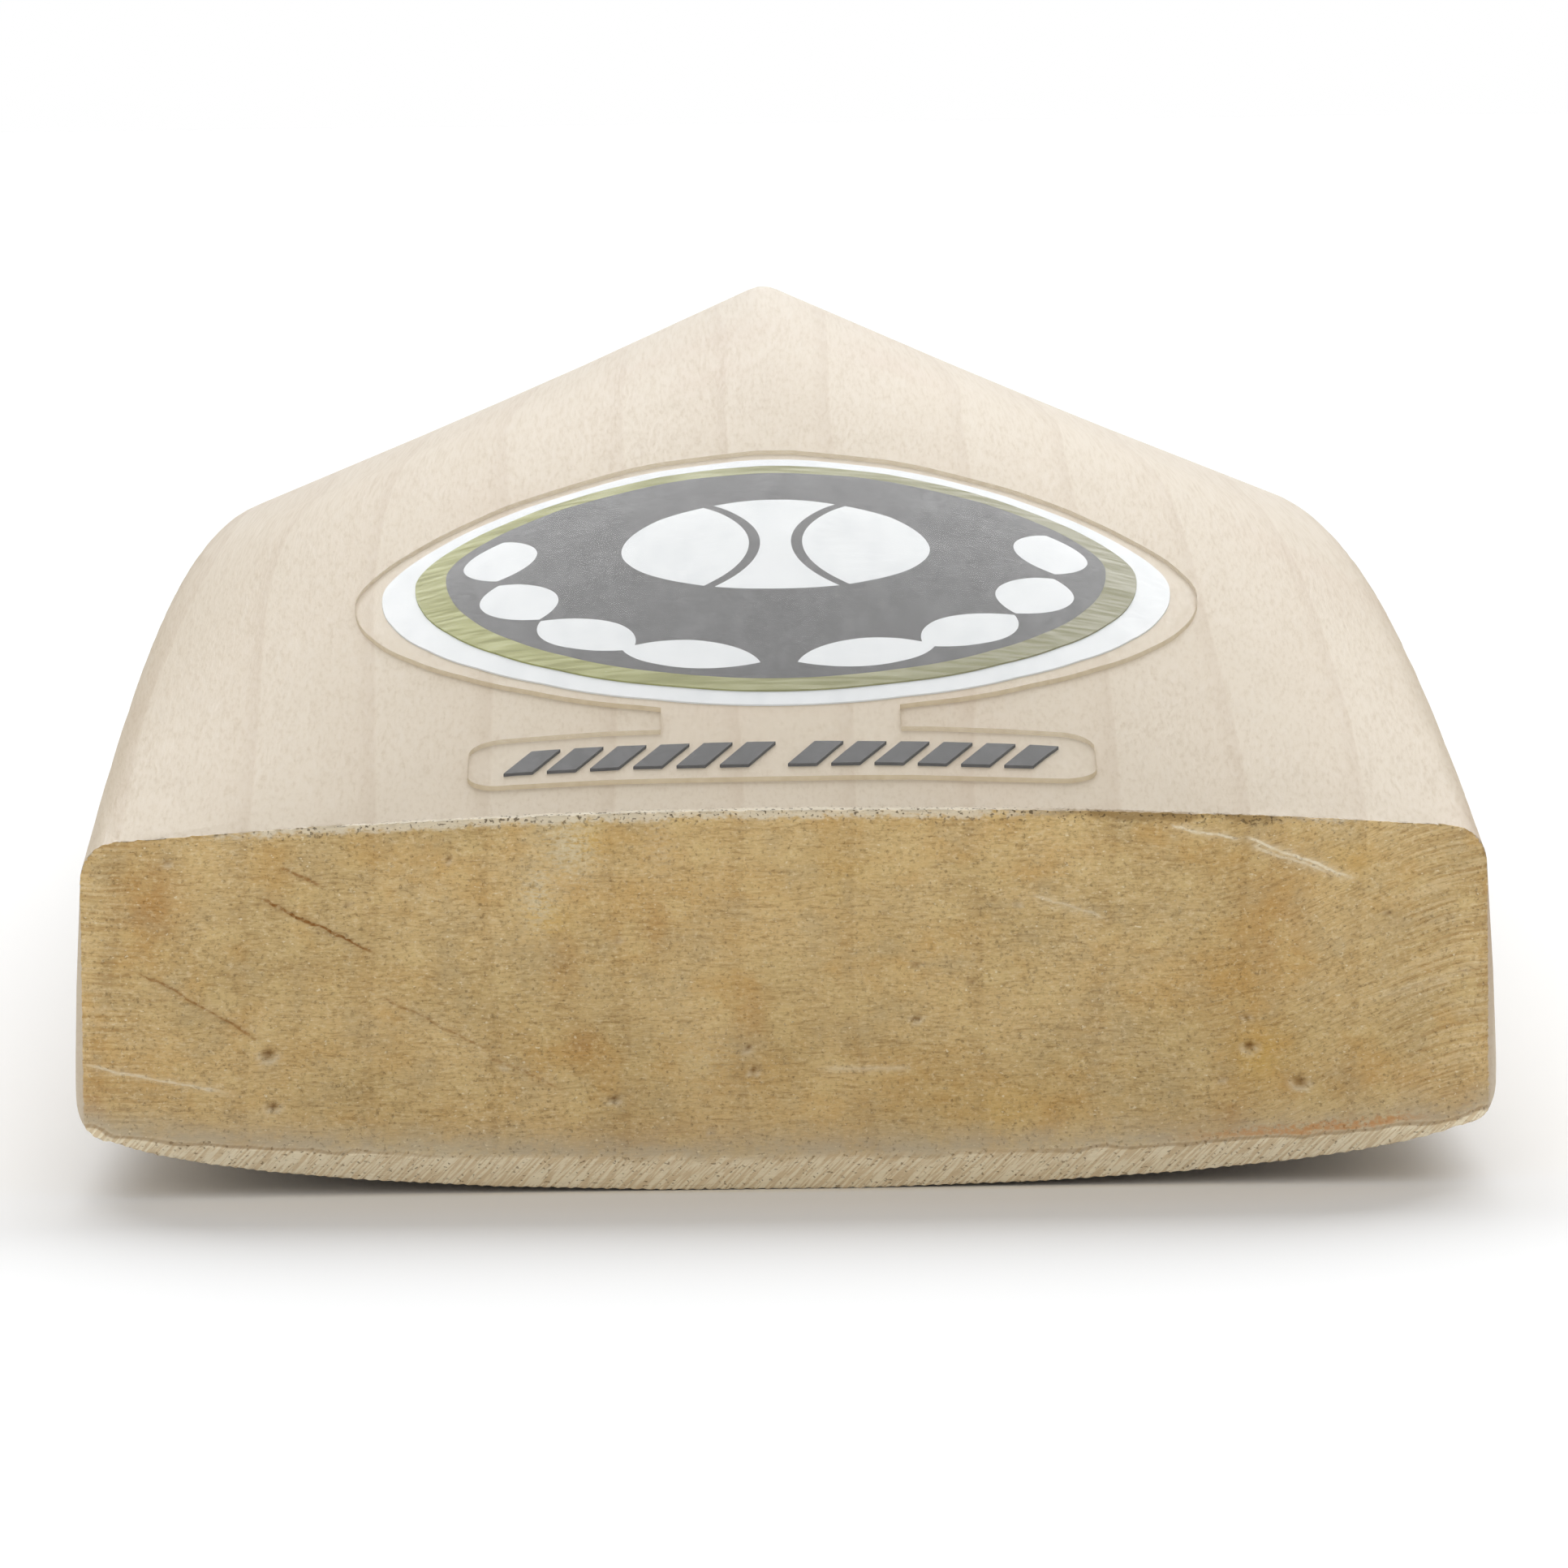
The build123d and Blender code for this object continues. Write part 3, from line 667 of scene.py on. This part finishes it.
# %% [markdown]
# ### End grain, from broad to fine
#
# A painter of false wood works from broad to fine, and so does this finish: tan and ochre clouds first, then
# the dashes of torn fibre, then mottling and speckles. The dashes are noise that is stretched sideways. Near
# the right side they climb a little, as if the saw had come in at a slant there, so their height is measured
# from a line that tilts.

# %% End grain finish
climb = willow.x * 0.06
swirl = willow.noise(0.16, 0.2, 0.16, detail=1.0) - 0.5
level = willow.z - climb * willow.step(willow.x, 30.0, 52.0) * 2.0 + swirl * 0.8


def dashes(per_mm_across, per_mm_up, detail):
    where = willow.point(willow.x * per_mm_across, willow.y * 0.3, level * per_mm_up)
    return willow.noise_at(where, detail, roughness=0.6)


torn = dashes(0.55, 4.2, 3.0)
fine_torn = dashes(1.5, 8.5, 2.0)
combed = dashes(0.12, 3.4, 1.0)
clouds = willow.noise(0.11, 0.11, 0.13, detail=3.0)
warm_clouds = willow.noise(0.07, 0.2, 0.16, detail=2.0)
pores = willow.noise(3.4, 3.4, 3.8, detail=1.0)
fibre_ends = willow.noise(2.6, 2.6, 4.2, detail=1.5)
end_grain = willow.blend(willow.step(clouds, 0.3, 0.7), tone(218, 188, 134), tone(202, 174, 122))
end_grain = willow.blend(willow.step(warm_clouds, 0.45, 0.8) * 0.65, end_grain, tone(203, 162, 98))
end_grain = willow.blend(ring_line * 0.2, end_grain, tone(158, 118, 66))
end_grain = willow.blend(willow.step(torn, 0.52, 0.72) * 0.42, end_grain, tone(146, 112, 66))
end_grain = willow.blend((1 - willow.step(torn, 0.28, 0.46)) * 0.4, end_grain, tone(216, 190, 142))
end_grain = willow.blend(willow.step(fine_torn, 0.5, 0.72) * 0.35, end_grain, tone(132, 104, 64))
end_grain = willow.blend((1 - willow.step(fine_torn, 0.3, 0.47)) * 0.35, end_grain, tone(226, 204, 160))
sides = willow.step(abs(willow.x + 1.0), 44.0, 51.0)
end_grain = willow.blend(willow.step(combed, 0.5, 0.66) * sides * 0.36, end_grain, tone(158, 114, 62))
end_grain = willow.blend((1 - willow.step(combed, 0.34, 0.5)) * sides * 0.34, end_grain, tone(234, 210, 168))
end_grain = willow.blend(willow.attribute("stain") * 0.6, end_grain, tone(176, 120, 52))
end_grain = willow.blend(willow.attribute("yellow") * 0.6, end_grain, tone(214, 172, 84))
mottle = willow.noise(0.36, 0.3, 0.42, detail=3.0, roughness=0.6)
golden = willow.noise(0.24, 0.3, 0.3, detail=3.0, roughness=0.6)
speckle = willow.noise(2.3, 2.0, 3.0, detail=3.0, roughness=0.7)
end_grain = willow.blend(willow.step(mottle, 0.48, 0.72) * 0.36, end_grain, tone(186, 166, 128))
end_grain = willow.blend(willow.step(golden, 0.5, 0.74) * 0.42, end_grain, tone(206, 162, 94))
end_grain = willow.blend((1 - willow.step(mottle, 0.32, 0.48)) * 0.36, end_grain, tone(224, 198, 142))
end_grain = willow.blend(willow.step(speckle, 0.53, 0.68) * 0.4, end_grain, tone(146, 118, 76))
end_grain = willow.blend((1 - willow.step(speckle, 0.33, 0.46)) * 0.4, end_grain, tone(234, 214, 172))

# %% [markdown]
# ### Dirt, stains and scratches
#
# The marks that the mesh carries colour the wood now: a grey hem above the bevel, where dirt settles, with a
# streak of rust at its right end, then stains, scuffs, pits and pale torn fibre. A value that is kept at a
# mesh's points can't be finer than its cells, so the thinnest scratches are drawn by the finish itself, as
# the distance from a line. They use the same list as the grooves, so colour and relief lie together.

# %% Marks on the end grain
HAIRLINE_DEPTH = 0.07
HAIRLINE_CORE = 0.04
HAIRLINE_EDGE = 0.15

hem_patches = willow.step(mottle + speckle * 0.4, 0.55, 0.8) * 0.35 + 0.55
end_grain = willow.blend(willow.attribute("grey_hem") * hem_patches, end_grain, tone(196, 182, 156))
rust_place = willow.step(willow.x, 26.0, 38.0) * (1 - willow.step(willow.x, 45.0, 50.0))
rust = willow.step(willow.attribute("grey_hem") + (speckle - 0.5) * 1.2, 0.6, 1.0) * rust_place
end_grain = willow.blend(rust * 0.75, end_grain, tone(206, 146, 88))
end_grain = willow.blend(willow.step(pores, 0.73, 0.8) * 0.5, end_grain, tone(112, 90, 62))
end_grain = willow.blend(willow.step(fibre_ends, 0.67, 0.78) * 0.75, end_grain, tone(236, 220, 184))
scuffed = willow.attribute("scuff") * willow.step(fine_torn + fibre_ends - 0.5, 0.35, 0.6)
end_grain = willow.blend(scuffed * 0.8, end_grain, tone(226, 212, 178))
end_grain = willow.blend(willow.attribute("groove") * 0.85, end_grain, tone(118, 80, 38))
end_grain = willow.blend(willow.attribute("pale_fibre") * 0.5, end_grain, tone(238, 226, 198))


def hairline(x0, z0, x1, z1):
    """A line on the toe, thinner than the mesh could carry, that wanders a little and fades at its ends."""
    length = math.hypot(x1 - x0, z1 - z0)
    right, up = (x1 - x0) / length, (z1 - z0) / length
    from_x, from_z = willow.x - x0, willow.z - z0
    along = (from_x * right + from_z * up) / length
    across = abs(from_x * up - from_z * right + (mottle - 0.5) * 0.9)
    ends = willow.step(along, 0.0, 0.12) * (1 - willow.step(along, 0.8, 1.0))
    broken = willow.step(speckle, 0.38, 0.56) * 0.6 + 0.4
    return (1 - willow.step(across, HAIRLINE_CORE, HAIRLINE_EDGE)) * ends * broken


for *ends, deep, _, paleness in SCRATCHES:
    if deep >= HAIRLINE_DEPTH:
        line_tone = tone(246, 234, 206) if paleness > 0 else tone(136, 84, 30)
        share = hairline(*ends) * min(1.0, abs(paleness)) * 0.8
        end_grain = willow.blend(share, end_grain, line_tone)

# %% [markdown]
# ### The hatched bevel, the fuzz and the whole blade
#
# The strokes on the narrow bevel all slant one way, so the noise that colours them is stretched along a
# slanting line. The fuzz on the upper rim is pale on the left and dirty on the right. Last, the two looks of
# willow are joined by the mask that the mesh carries, and the same noises give a little relief, so that light
# catches what the colour shows.

# %% Willow, joined up
slanted = willow.x - willow.z * 0.9
hatch_bands = willow.noise_at(willow.point(slanted * 3.4, willow.z * 0.5, 0.0), dimensions="2D")
# Painted light: the bevel faces down into shade, so its slanting strokes are painted far paler than the toe's
# wood, to make the underside look lit. The strokes and pores are the wood's own.
bevel_strokes_and_painted_light = willow.blend(willow.step(hatch_bands, 0.42, 0.6), tone(250, 237, 208), tone(228, 207, 172))
bevel_strokes_and_painted_light = willow.blend(willow.step(pores, 0.64, 0.74) * 0.6, bevel_strokes_and_painted_light, tone(130, 104, 70))
end_grain = willow.blend(rolled_edge, end_grain, bevel_strokes_and_painted_light)
# Painted shade: a dark line is painted along the crease where the flat toe turns under, stronger towards both
# sides.
crease_painted_shade = rolled_edge * (1 - rolled_edge) * 4.0
crease_shade_share = willow.step(abs(willow.x + 6.0), 14.0, 32.0) * 0.35 + 0.08
end_grain = willow.blend(willow.step(crease_painted_shade, 0.6, 1.0) * crease_shade_share, end_grain, tone(132, 98, 60))

fuzz = willow.attribute("fray")
ragged = (fibre_ends - 0.5) * 1.5 + (mottle - 0.5) * 2.2
fuzzy = willow.step(fuzz * 1.1 + ragged * fuzz, 0.35, 0.95)
right_part = willow.step(willow.x, 14.0, 24.0) * (1 - willow.step(willow.x, 36.0, 42.0))
fuzz_tone = willow.blend(right_part, tone(232, 222, 200), tone(150, 122, 78))
surface = willow.blend(willow.step(toe_grain + (fibre_ends - 0.5) * 0.5, 0.38, 0.62), long_grain, end_grain)
surface = willow.blend(fuzzy * 0.7, surface, fuzz_tone)
surface = willow.blend(fuzz * willow.step(pores, 0.58, 0.68) * 0.8, surface, tone(96, 80, 58))

toe_relief = torn * 0.5 + fine_torn * 0.35 + combed * sides * 0.4 - willow.step(pores, 0.62, 0.76) * 0.5
long_relief = hairs * 0.25 + flecks * 0.15
height = toe_relief * toe_grain + long_relief * (1 - toe_grain)
gloss = willow.step(hairs, 0.3, 0.8) * 0.12 + toe_grain * 0.25 + 0.48
willow_finish = willow.done(
    Base_Color=surface, Roughness=gloss, Normal=willow.relief(height, 0.16, 0.9), Specular_IOR_Level=0.05
)

# %% [markdown]
# ### The blade as an object
#
# The mesh becomes a piece that stands for the CAD blade and rides where it rode. Blender shades faces as
# smooth across an edge unless the edge is sharper than an angle, which keeps the corners of the toe crisp.

# %% Add the blade
blade = add_piece("willow_blade", blade_bm, [willow_finish], "blade")

# %% [markdown]
# ## A label that follows the wood
#
# The label is a clear film with prints under it. On the real bat it is as thin as paper, and it takes the
# curve of the back exactly. So each print is cut into small cells while it is still flat, and then every
# point is dropped onto the finished blade and lifted by its layer's height. The ray that finds the wood
# comes from a search tree of the blade's faces. A skirt round the outline gives the layer its thickness.

# %% Lay the prints on the wood
LABEL_CELL = 1.6
LAYER = 0.12
SKIRT_DEPTH = 0.06
NORMAL_REACH = 2.5
RAY_FROM = 200.0

wood = search_tree(blade.data)


def wood_height(x_mm, y_mm):
    hit = wood.ray_cast(Vector((x_mm * MM, y_mm * MM, RAY_FROM * MM)), Vector((0, 0, -1)))[0]
    return hit.z / MM


def wood_normal(x_mm, y_mm):
    """Which way the wood faces, measured over a few millimetres so that single facets don't show."""
    across = wood_height(x_mm + NORMAL_REACH, y_mm) - wood_height(x_mm - NORMAL_REACH, y_mm)
    along = wood_height(x_mm, y_mm + NORMAL_REACH) - wood_height(x_mm, y_mm - NORMAL_REACH)
    return Vector((-across, -along, 2 * NORMAL_REACH)).normalized()


def lay_on_wood(name, node, layers_up, material, edge_material):
    """Makes one layer of the label from the top faces of its CAD piece."""
    bm = welded(node, keep=lambda face: face.normal.z > 0.4)
    low = [min(v.co[i] for v in bm.verts) for i in (0, 1)]
    high = [max(v.co[i] for v in bm.verts) for i in (0, 1)]
    pieces = list(bm.faces)
    for axis in (0, 1):
        pieces = slice_faces(bm, pieces, axis, stops_between(low[axis], high[axis], LABEL_CELL))
    bmesh.ops.triangulate(bm, faces=bm.faces)
    for vert in bm.verts:
        vert.co.z = wood_height(vert.co.x, vert.co.y) + layers_up * LAYER
    outline = [e for e in bm.edges if e.is_boundary]
    skirt = bmesh.ops.extrude_edge_only(bm, edges=outline)["geom"]
    for part in skirt:
        if isinstance(part, bmesh.types.BMVert):
            part.co.z = wood_height(part.co.x, part.co.y) - SKIRT_DEPTH
        elif isinstance(part, bmesh.types.BMFace):
            part.material_index = 1
    bm.normal_update()
    torn_edges = sum(1 for e in bm.edges if len(e.link_faces) == 2 and not e.is_contiguous)
    print(name, "has", torn_edges, "edges whose faces disagree")
    piece = add_piece(name, bm, [material, edge_material], node)
    mesh = piece.data
    facing = [wood_normal(v.co.x / MM, v.co.y / MM) for v in mesh.vertices]
    loop_normals = [None] * len(mesh.loops)
    for face in mesh.polygons:
        for loop, vert in zip(face.loop_indices, face.vertices):
            loop_normals[loop] = face.normal if face.material_index else facing[vert]
    mesh.normals_split_custom_set(loop_normals)
    return piece


# %% [markdown]
# ### Inks and film
#
# Ink on film is flat and even, with a faint streak from the printing. The gold ink is a metallic olive, and a
# painted sheen makes it brighter on one side. The film is almost clear, so its material is mostly
# transparent, and only the cut edge of it, seen edge on, shows as a thin tan line on the wood: painted shade,
# put there by its finish.

# %% Label finishes
def ink(name, colour, streak_colour, streak, roughness):
    finish = Finish(name)
    smear = finish.noise(0.5, 0.12, 0.1, detail=3.0)
    grit = finish.noise(2.5, 2.5, 1.0, detail=1.0)
    shade = finish.blend(finish.step(smear, 0.4, 0.8) * streak, colour, streak_colour)
    rough = finish.step(grit, 0.2, 0.8) * 0.12 + roughness
    bumps = finish.relief(grit, 0.02, 0.4)
    return finish.done(Base_Color=shade, Roughness=rough, Normal=bumps, Specular_IOR_Level=0.03)


white_ink = ink("white_print_ink", tone(226, 229, 231), tone(214, 218, 221), 0.6, 0.38)
dark_ink = ink("dark_print_ink", tone(66, 66, 70), tone(92, 92, 96), 0.55, 0.40)

gold = Finish("gold_print_ink")
brushed = gold.noise(0.25, 1.4, 0.2, detail=2.0)
# Painted sheen: the gold is painted brighter and yellower on the left than on the right, as light glancing
# off metallic ink would make it. The brushed streaks are the ink's own.
gold_ink_and_painted_sheen = gold.blend(gold.step(gold.x, -30.0, 26.0), tone(152, 154, 82), tone(136, 134, 104))
gold_ink_and_painted_sheen = gold.blend(gold.step(brushed, 0.4, 0.7) * 0.5, gold_ink_and_painted_sheen, tone(122, 122, 74))
gold_ink = gold.done(
    Base_Color=gold_ink_and_painted_sheen, Roughness=gold.step(brushed, 0.3, 0.7) * 0.2 + 0.4, Metallic=0.05,
    Specular_IOR_Level=0.03,
)

film = Finish("clear_label_film")
dust = film.noise(0.8, 0.8, 0.8, detail=2.0)
film_gloss = film.step(dust, 0.2, 0.8) * 0.1 + 0.22
film_clear = film.done(
    Base_Color=tone(246, 240, 222), Roughness=film_gloss, Alpha=0.05, Specular_IOR_Level=0.3
)
# Painted shade: the skirt round the film is painted a mostly opaque tan, for the thin darker line that the
# film's cut edge makes on the wood.
painted_edge_finish = Finish("film_cut_edge_painted_shade")
rim_dust = painted_edge_finish.noise(1.2, 1.2, 1.2, detail=1.0)
film_edge_painted_shade = painted_edge_finish.done(
    Base_Color=painted_edge_finish.blend(rim_dust, tone(196, 176, 140), tone(222, 206, 172)), Roughness=0.4, Alpha=0.75
)

# %% [markdown]
# ### Six layers, from the wood up
#
# The white ground goes down first, then the coloured prints side by side on it, and the film over all. The
# marks are plain shapes: a ball with two seams over two rows of leaves, and a strip of slanted dashes.

# %% Add the label
lay_on_wood("label_ground_white", "label_white_ground", 1, white_ink, white_ink)
lay_on_wood("label_band_gold", "label_gold_band", 2, gold_ink, gold_ink)
lay_on_wood("label_field_dark", "label_dark_field", 2, dark_ink, dark_ink)
lay_on_wood("label_emblem_white", "label_white_emblem", 2, white_ink, white_ink)
lay_on_wood("label_dashes_dark", "label_strip_dashes", 2, dark_ink, dark_ink)
lay_on_wood("label_film_clear", "label_clear_film", 3, film_clear, film_edge_painted_shade)

# %% [markdown]
# ## The handle
#
# Twelve strips of cane and three sheets of rubber are glued into one stick. Their CAD shapes are right, so
# they only need their finishes: cane has straight dark vessels along it and shows them as dots on a cut
# end, and the rubber is plain, matt and a little dusty.

# %% Cane and spring rubber
cane = Finish("cane_strips")
vessel_dots = cane.noise(2.4, 0.04, 2.4, detail=1.0)
cane_clouds = cane.noise(0.2, 0.01, 0.2, detail=2.0)
cane_shade = cane.blend(cane.step(cane_clouds, 0.35, 0.7), tone(222, 190, 136), tone(205, 168, 112))
cane_shade = cane.blend(cane.step(vessel_dots, 0.55, 0.7) * 0.8, cane_shade, tone(138, 98, 58))
cane_finish = cane.done(
    Base_Color=cane_shade, Roughness=vessel_dots * 0.2 + 0.45, Normal=cane.relief(vessel_dots, 0.1, 0.6)
)

spring = Finish("spring_rubber_sheet")
spring_grit = spring.noise(1.6, 0.8, 1.6, detail=3.0)
spring_shade = spring.blend(spring.step(spring_grit, 0.35, 0.75), tone(52, 50, 48), tone(84, 80, 76))
spring_finish = spring.done(
    Base_Color=spring_shade, Roughness=spring_grit * 0.2 + 0.65, Normal=spring.relief(spring_grit, 0.05, 0.5)
)

for name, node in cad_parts.items():
    finish = {"cane": cane_finish, "spring": spring_finish}.get(name.split("_")[0])
    if finish is not None:
        node.data.materials.clear()
        node.data.materials.append(finish)
dressed = [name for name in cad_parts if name.startswith(("cane", "spring"))]
print("cane and rubber finishes are on", len(dressed), "nodes")

# %% [markdown]
# ### Measuring round the handle
#
# The twine and the grip both follow the handle, which is oval at the blade, round at the end, and lies at a
# slight slope. A ray shot from far outside towards the handle's axis finds how far out the CAD surface is
# in any direction. Rays on a regular grid of angles and stations make a table, and everything that wraps
# the handle reads its radius from that table.


# %% Radius of a CAD skin
AXIS_Z = sum(v.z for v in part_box("spring_middle")) / 2 / MM
OUTSIDE = 60.0


def skin_of(node, angles, stations):
    """The outer radius of a CAD piece in mm, for each station along y and each angle round the handle."""
    tree = search_tree(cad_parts[node].data)
    radii = np.zeros((len(stations), len(angles)))
    for i, y_mm in enumerate(stations):
        axis = Vector((0.0, y_mm, AXIS_Z)) * MM
        for j, angle in enumerate(angles):
            out = Vector((math.cos(angle), 0.0, math.sin(angle)))
            hit = tree.ray_cast(axis + out * (OUTSIDE * MM), -out)[0]
            radii[i, j] = (hit - axis).length / MM
    return radii


def around(count):
    return np.arange(count) * 2 * math.pi / count


def place_on(angle, y_mm, radius):
    return (radius * np.cos(angle), y_mm, AXIS_Z + radius * np.sin(angle))


grip_low, grip_high = (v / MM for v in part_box("rubber_grip"))
twine_low, twine_high = (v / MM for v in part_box("twine_binding"))
print("the grip is", round(grip_high.y - grip_low.y), "mm long, round an axis", round(AXIS_Z, 1), "mm up")

# %% [markdown]
# ### Wound twine
#
# The binding is one waxed thread wound tight from the shoulders to the end, each turn against the last. Most
# of it is under the grip, but a dozen turns show at the neck. It is made as what it is: a helix whose pitch
# is the thread's own width, swept by a small ring of points. Its radius comes from the ray table's method, so
# the helix turns oval where the neck is oval.

# %% Wind the twine
THREAD = 0.9
STEPS_PER_TURN = 36
THREAD_SIDES = 5
TURNS_PER_STATION = 4

turns = int((twine_high.y - twine_low.y - THREAD) / THREAD)
ring_angles = around(STEPS_PER_TURN)
turn_stations = [twine_low.y + THREAD * (i + 0.75) for i in range(0, turns, TURNS_PER_STATION)]
twine_skin = skin_of("twine_binding", ring_angles, turn_stations)
twine_bm = bmesh.new()
last_ring = None
for step in range(turns * STEPS_PER_TURN + 1):
    angle = ring_angles[step % STEPS_PER_TURN]
    y_mm = twine_low.y + THREAD * (step / STEPS_PER_TURN + 0.5)
    radius = np.interp(y_mm, turn_stations, twine_skin[:, step % STEPS_PER_TURN]) - THREAD / 2
    ring = []
    for side in range(THREAD_SIDES):
        round_thread = 2 * math.pi * side / THREAD_SIDES
        out = radius + THREAD * 0.5 * math.cos(round_thread)
        ring.append(twine_bm.verts.new(place_on(angle, y_mm + THREAD * 0.5 * math.sin(round_thread), out)))
    if last_ring is None:
        twine_bm.faces.new(ring[::-1])
    else:
        for a in range(THREAD_SIDES):
            b = (a + 1) % THREAD_SIDES
            twine_bm.faces.new((last_ring[a], last_ring[b], ring[b], ring[a]))
    last_ring = ring
twine_bm.faces.new(last_ring)
bmesh.ops.recalc_face_normals(twine_bm, faces=twine_bm.faces)

twine = Finish("waxed_twine")
twist = twine.noise(2.2, 4.0, 2.2, detail=2.0)
twine_shade = twine.blend(twine.step(twist, 0.35, 0.7), tone(226, 218, 198), tone(178, 164, 136))
twine_finish = twine.done(Base_Color=twine_shade, Roughness=0.62, Normal=twine.relief(twist, 0.12, 0.8))
add_piece("wound_twine", twine_bm, [twine_finish], "twine_binding", sharp_degrees=80.0)
print("the twine goes round", turns, "times")

# %% [markdown]
# ### The rubber grip
#
# A grip is a moulded sleeve, rolled on over the twine. Its pattern stops the hands slipping: here rows of
# zigzag ribs, with a plain bead at each end. A texture could fake the ribs, but they show in the outline, so
# they are modelled. A grid of points wraps the handle, and a formula sinks the ones that lie between ribs.

# %% Mould the grip
RIB_PITCH = 3.6
RIB_DEPTH = 0.55
ZIGZAGS = 6
ZIGZAG_HEIGHT = 8.0
BEAD_LENGTH = 6.0
GRIP_STEP = 0.62
GRIP_ANGLES = 132
END_GAP = 0.01
INNER_RING_EVERY = 24
INNER_GAP = 0.05
TWINE_END_GAP = 0.2

grip_angles = around(GRIP_ANGLES)
grip_rings = int((grip_high.y - grip_low.y) / GRIP_STEP)
grip_stations = np.linspace(grip_low.y + END_GAP, grip_high.y - END_GAP, grip_rings)
grip_skin = skin_of("rubber_grip", grip_angles, grip_stations)
zigzag = np.abs((grip_angles / (2 * math.pi) * ZIGZAGS) % 1.0 - 0.5) * 2 * ZIGZAG_HEIGHT
rib_phase = ((grip_stations[:, None] + zigzag[None, :]) / RIB_PITCH) % 1.0
between_ribs = smooth_between(rib_phase, 0.5, 0.66) * (1 - smooth_between(rib_phase, 0.86, 1.0))
from_end = np.minimum(grip_stations - grip_low.y, grip_high.y - grip_stations)
ribbed = smooth_between(from_end, BEAD_LENGTH, BEAD_LENGTH + 1.5)[:, None]
grip_radii = grip_skin - RIB_DEPTH * between_ribs * ribbed

inner_stations = grip_stations[::-INNER_RING_EVERY]
over_twine = np.clip(inner_stations, None, twine_high.y - TWINE_END_GAP)
inner_radii = skin_of("twine_binding", grip_angles, over_twine) + INNER_GAP
grip_bm = bmesh.new()
rings = []
for stations, radii in ((grip_stations, grip_radii), (inner_stations, inner_radii)):
    for y_mm, row in zip(stations, radii):
        rings.append([grip_bm.verts.new(place_on(a, y_mm, r)) for a, r in zip(grip_angles, row)])
for first, second in zip(rings, rings[1:] + rings[:1]):
    for a in range(GRIP_ANGLES):
        b = (a + 1) % GRIP_ANGLES
        grip_bm.faces.new((first[a], first[b], second[b], second[a]))
bmesh.ops.recalc_face_normals(grip_bm, faces=grip_bm.faces)

grip = Finish("grip_rubber_moulded")
skin_grain = grip.noise(1.8, 1.8, 1.8, detail=3.0)
chalk = grip.noise(0.12, 0.05, 0.12, detail=3.0)
grip_shade = grip.blend(grip.step(skin_grain, 0.3, 0.8), tone(58, 60, 66), tone(78, 80, 86))
grip_shade = grip.blend(grip.step(chalk, 0.5, 0.8) * 0.35, grip_shade, tone(128, 128, 130))
grip_finish = grip.done(
    Base_Color=grip_shade, Roughness=skin_grain * 0.2 + 0.55, Normal=grip.relief(skin_grain, 0.06, 0.5)
)
add_piece("ribbed_grip", grip_bm, [grip_finish], "rubber_grip", sharp_degrees=50.0)
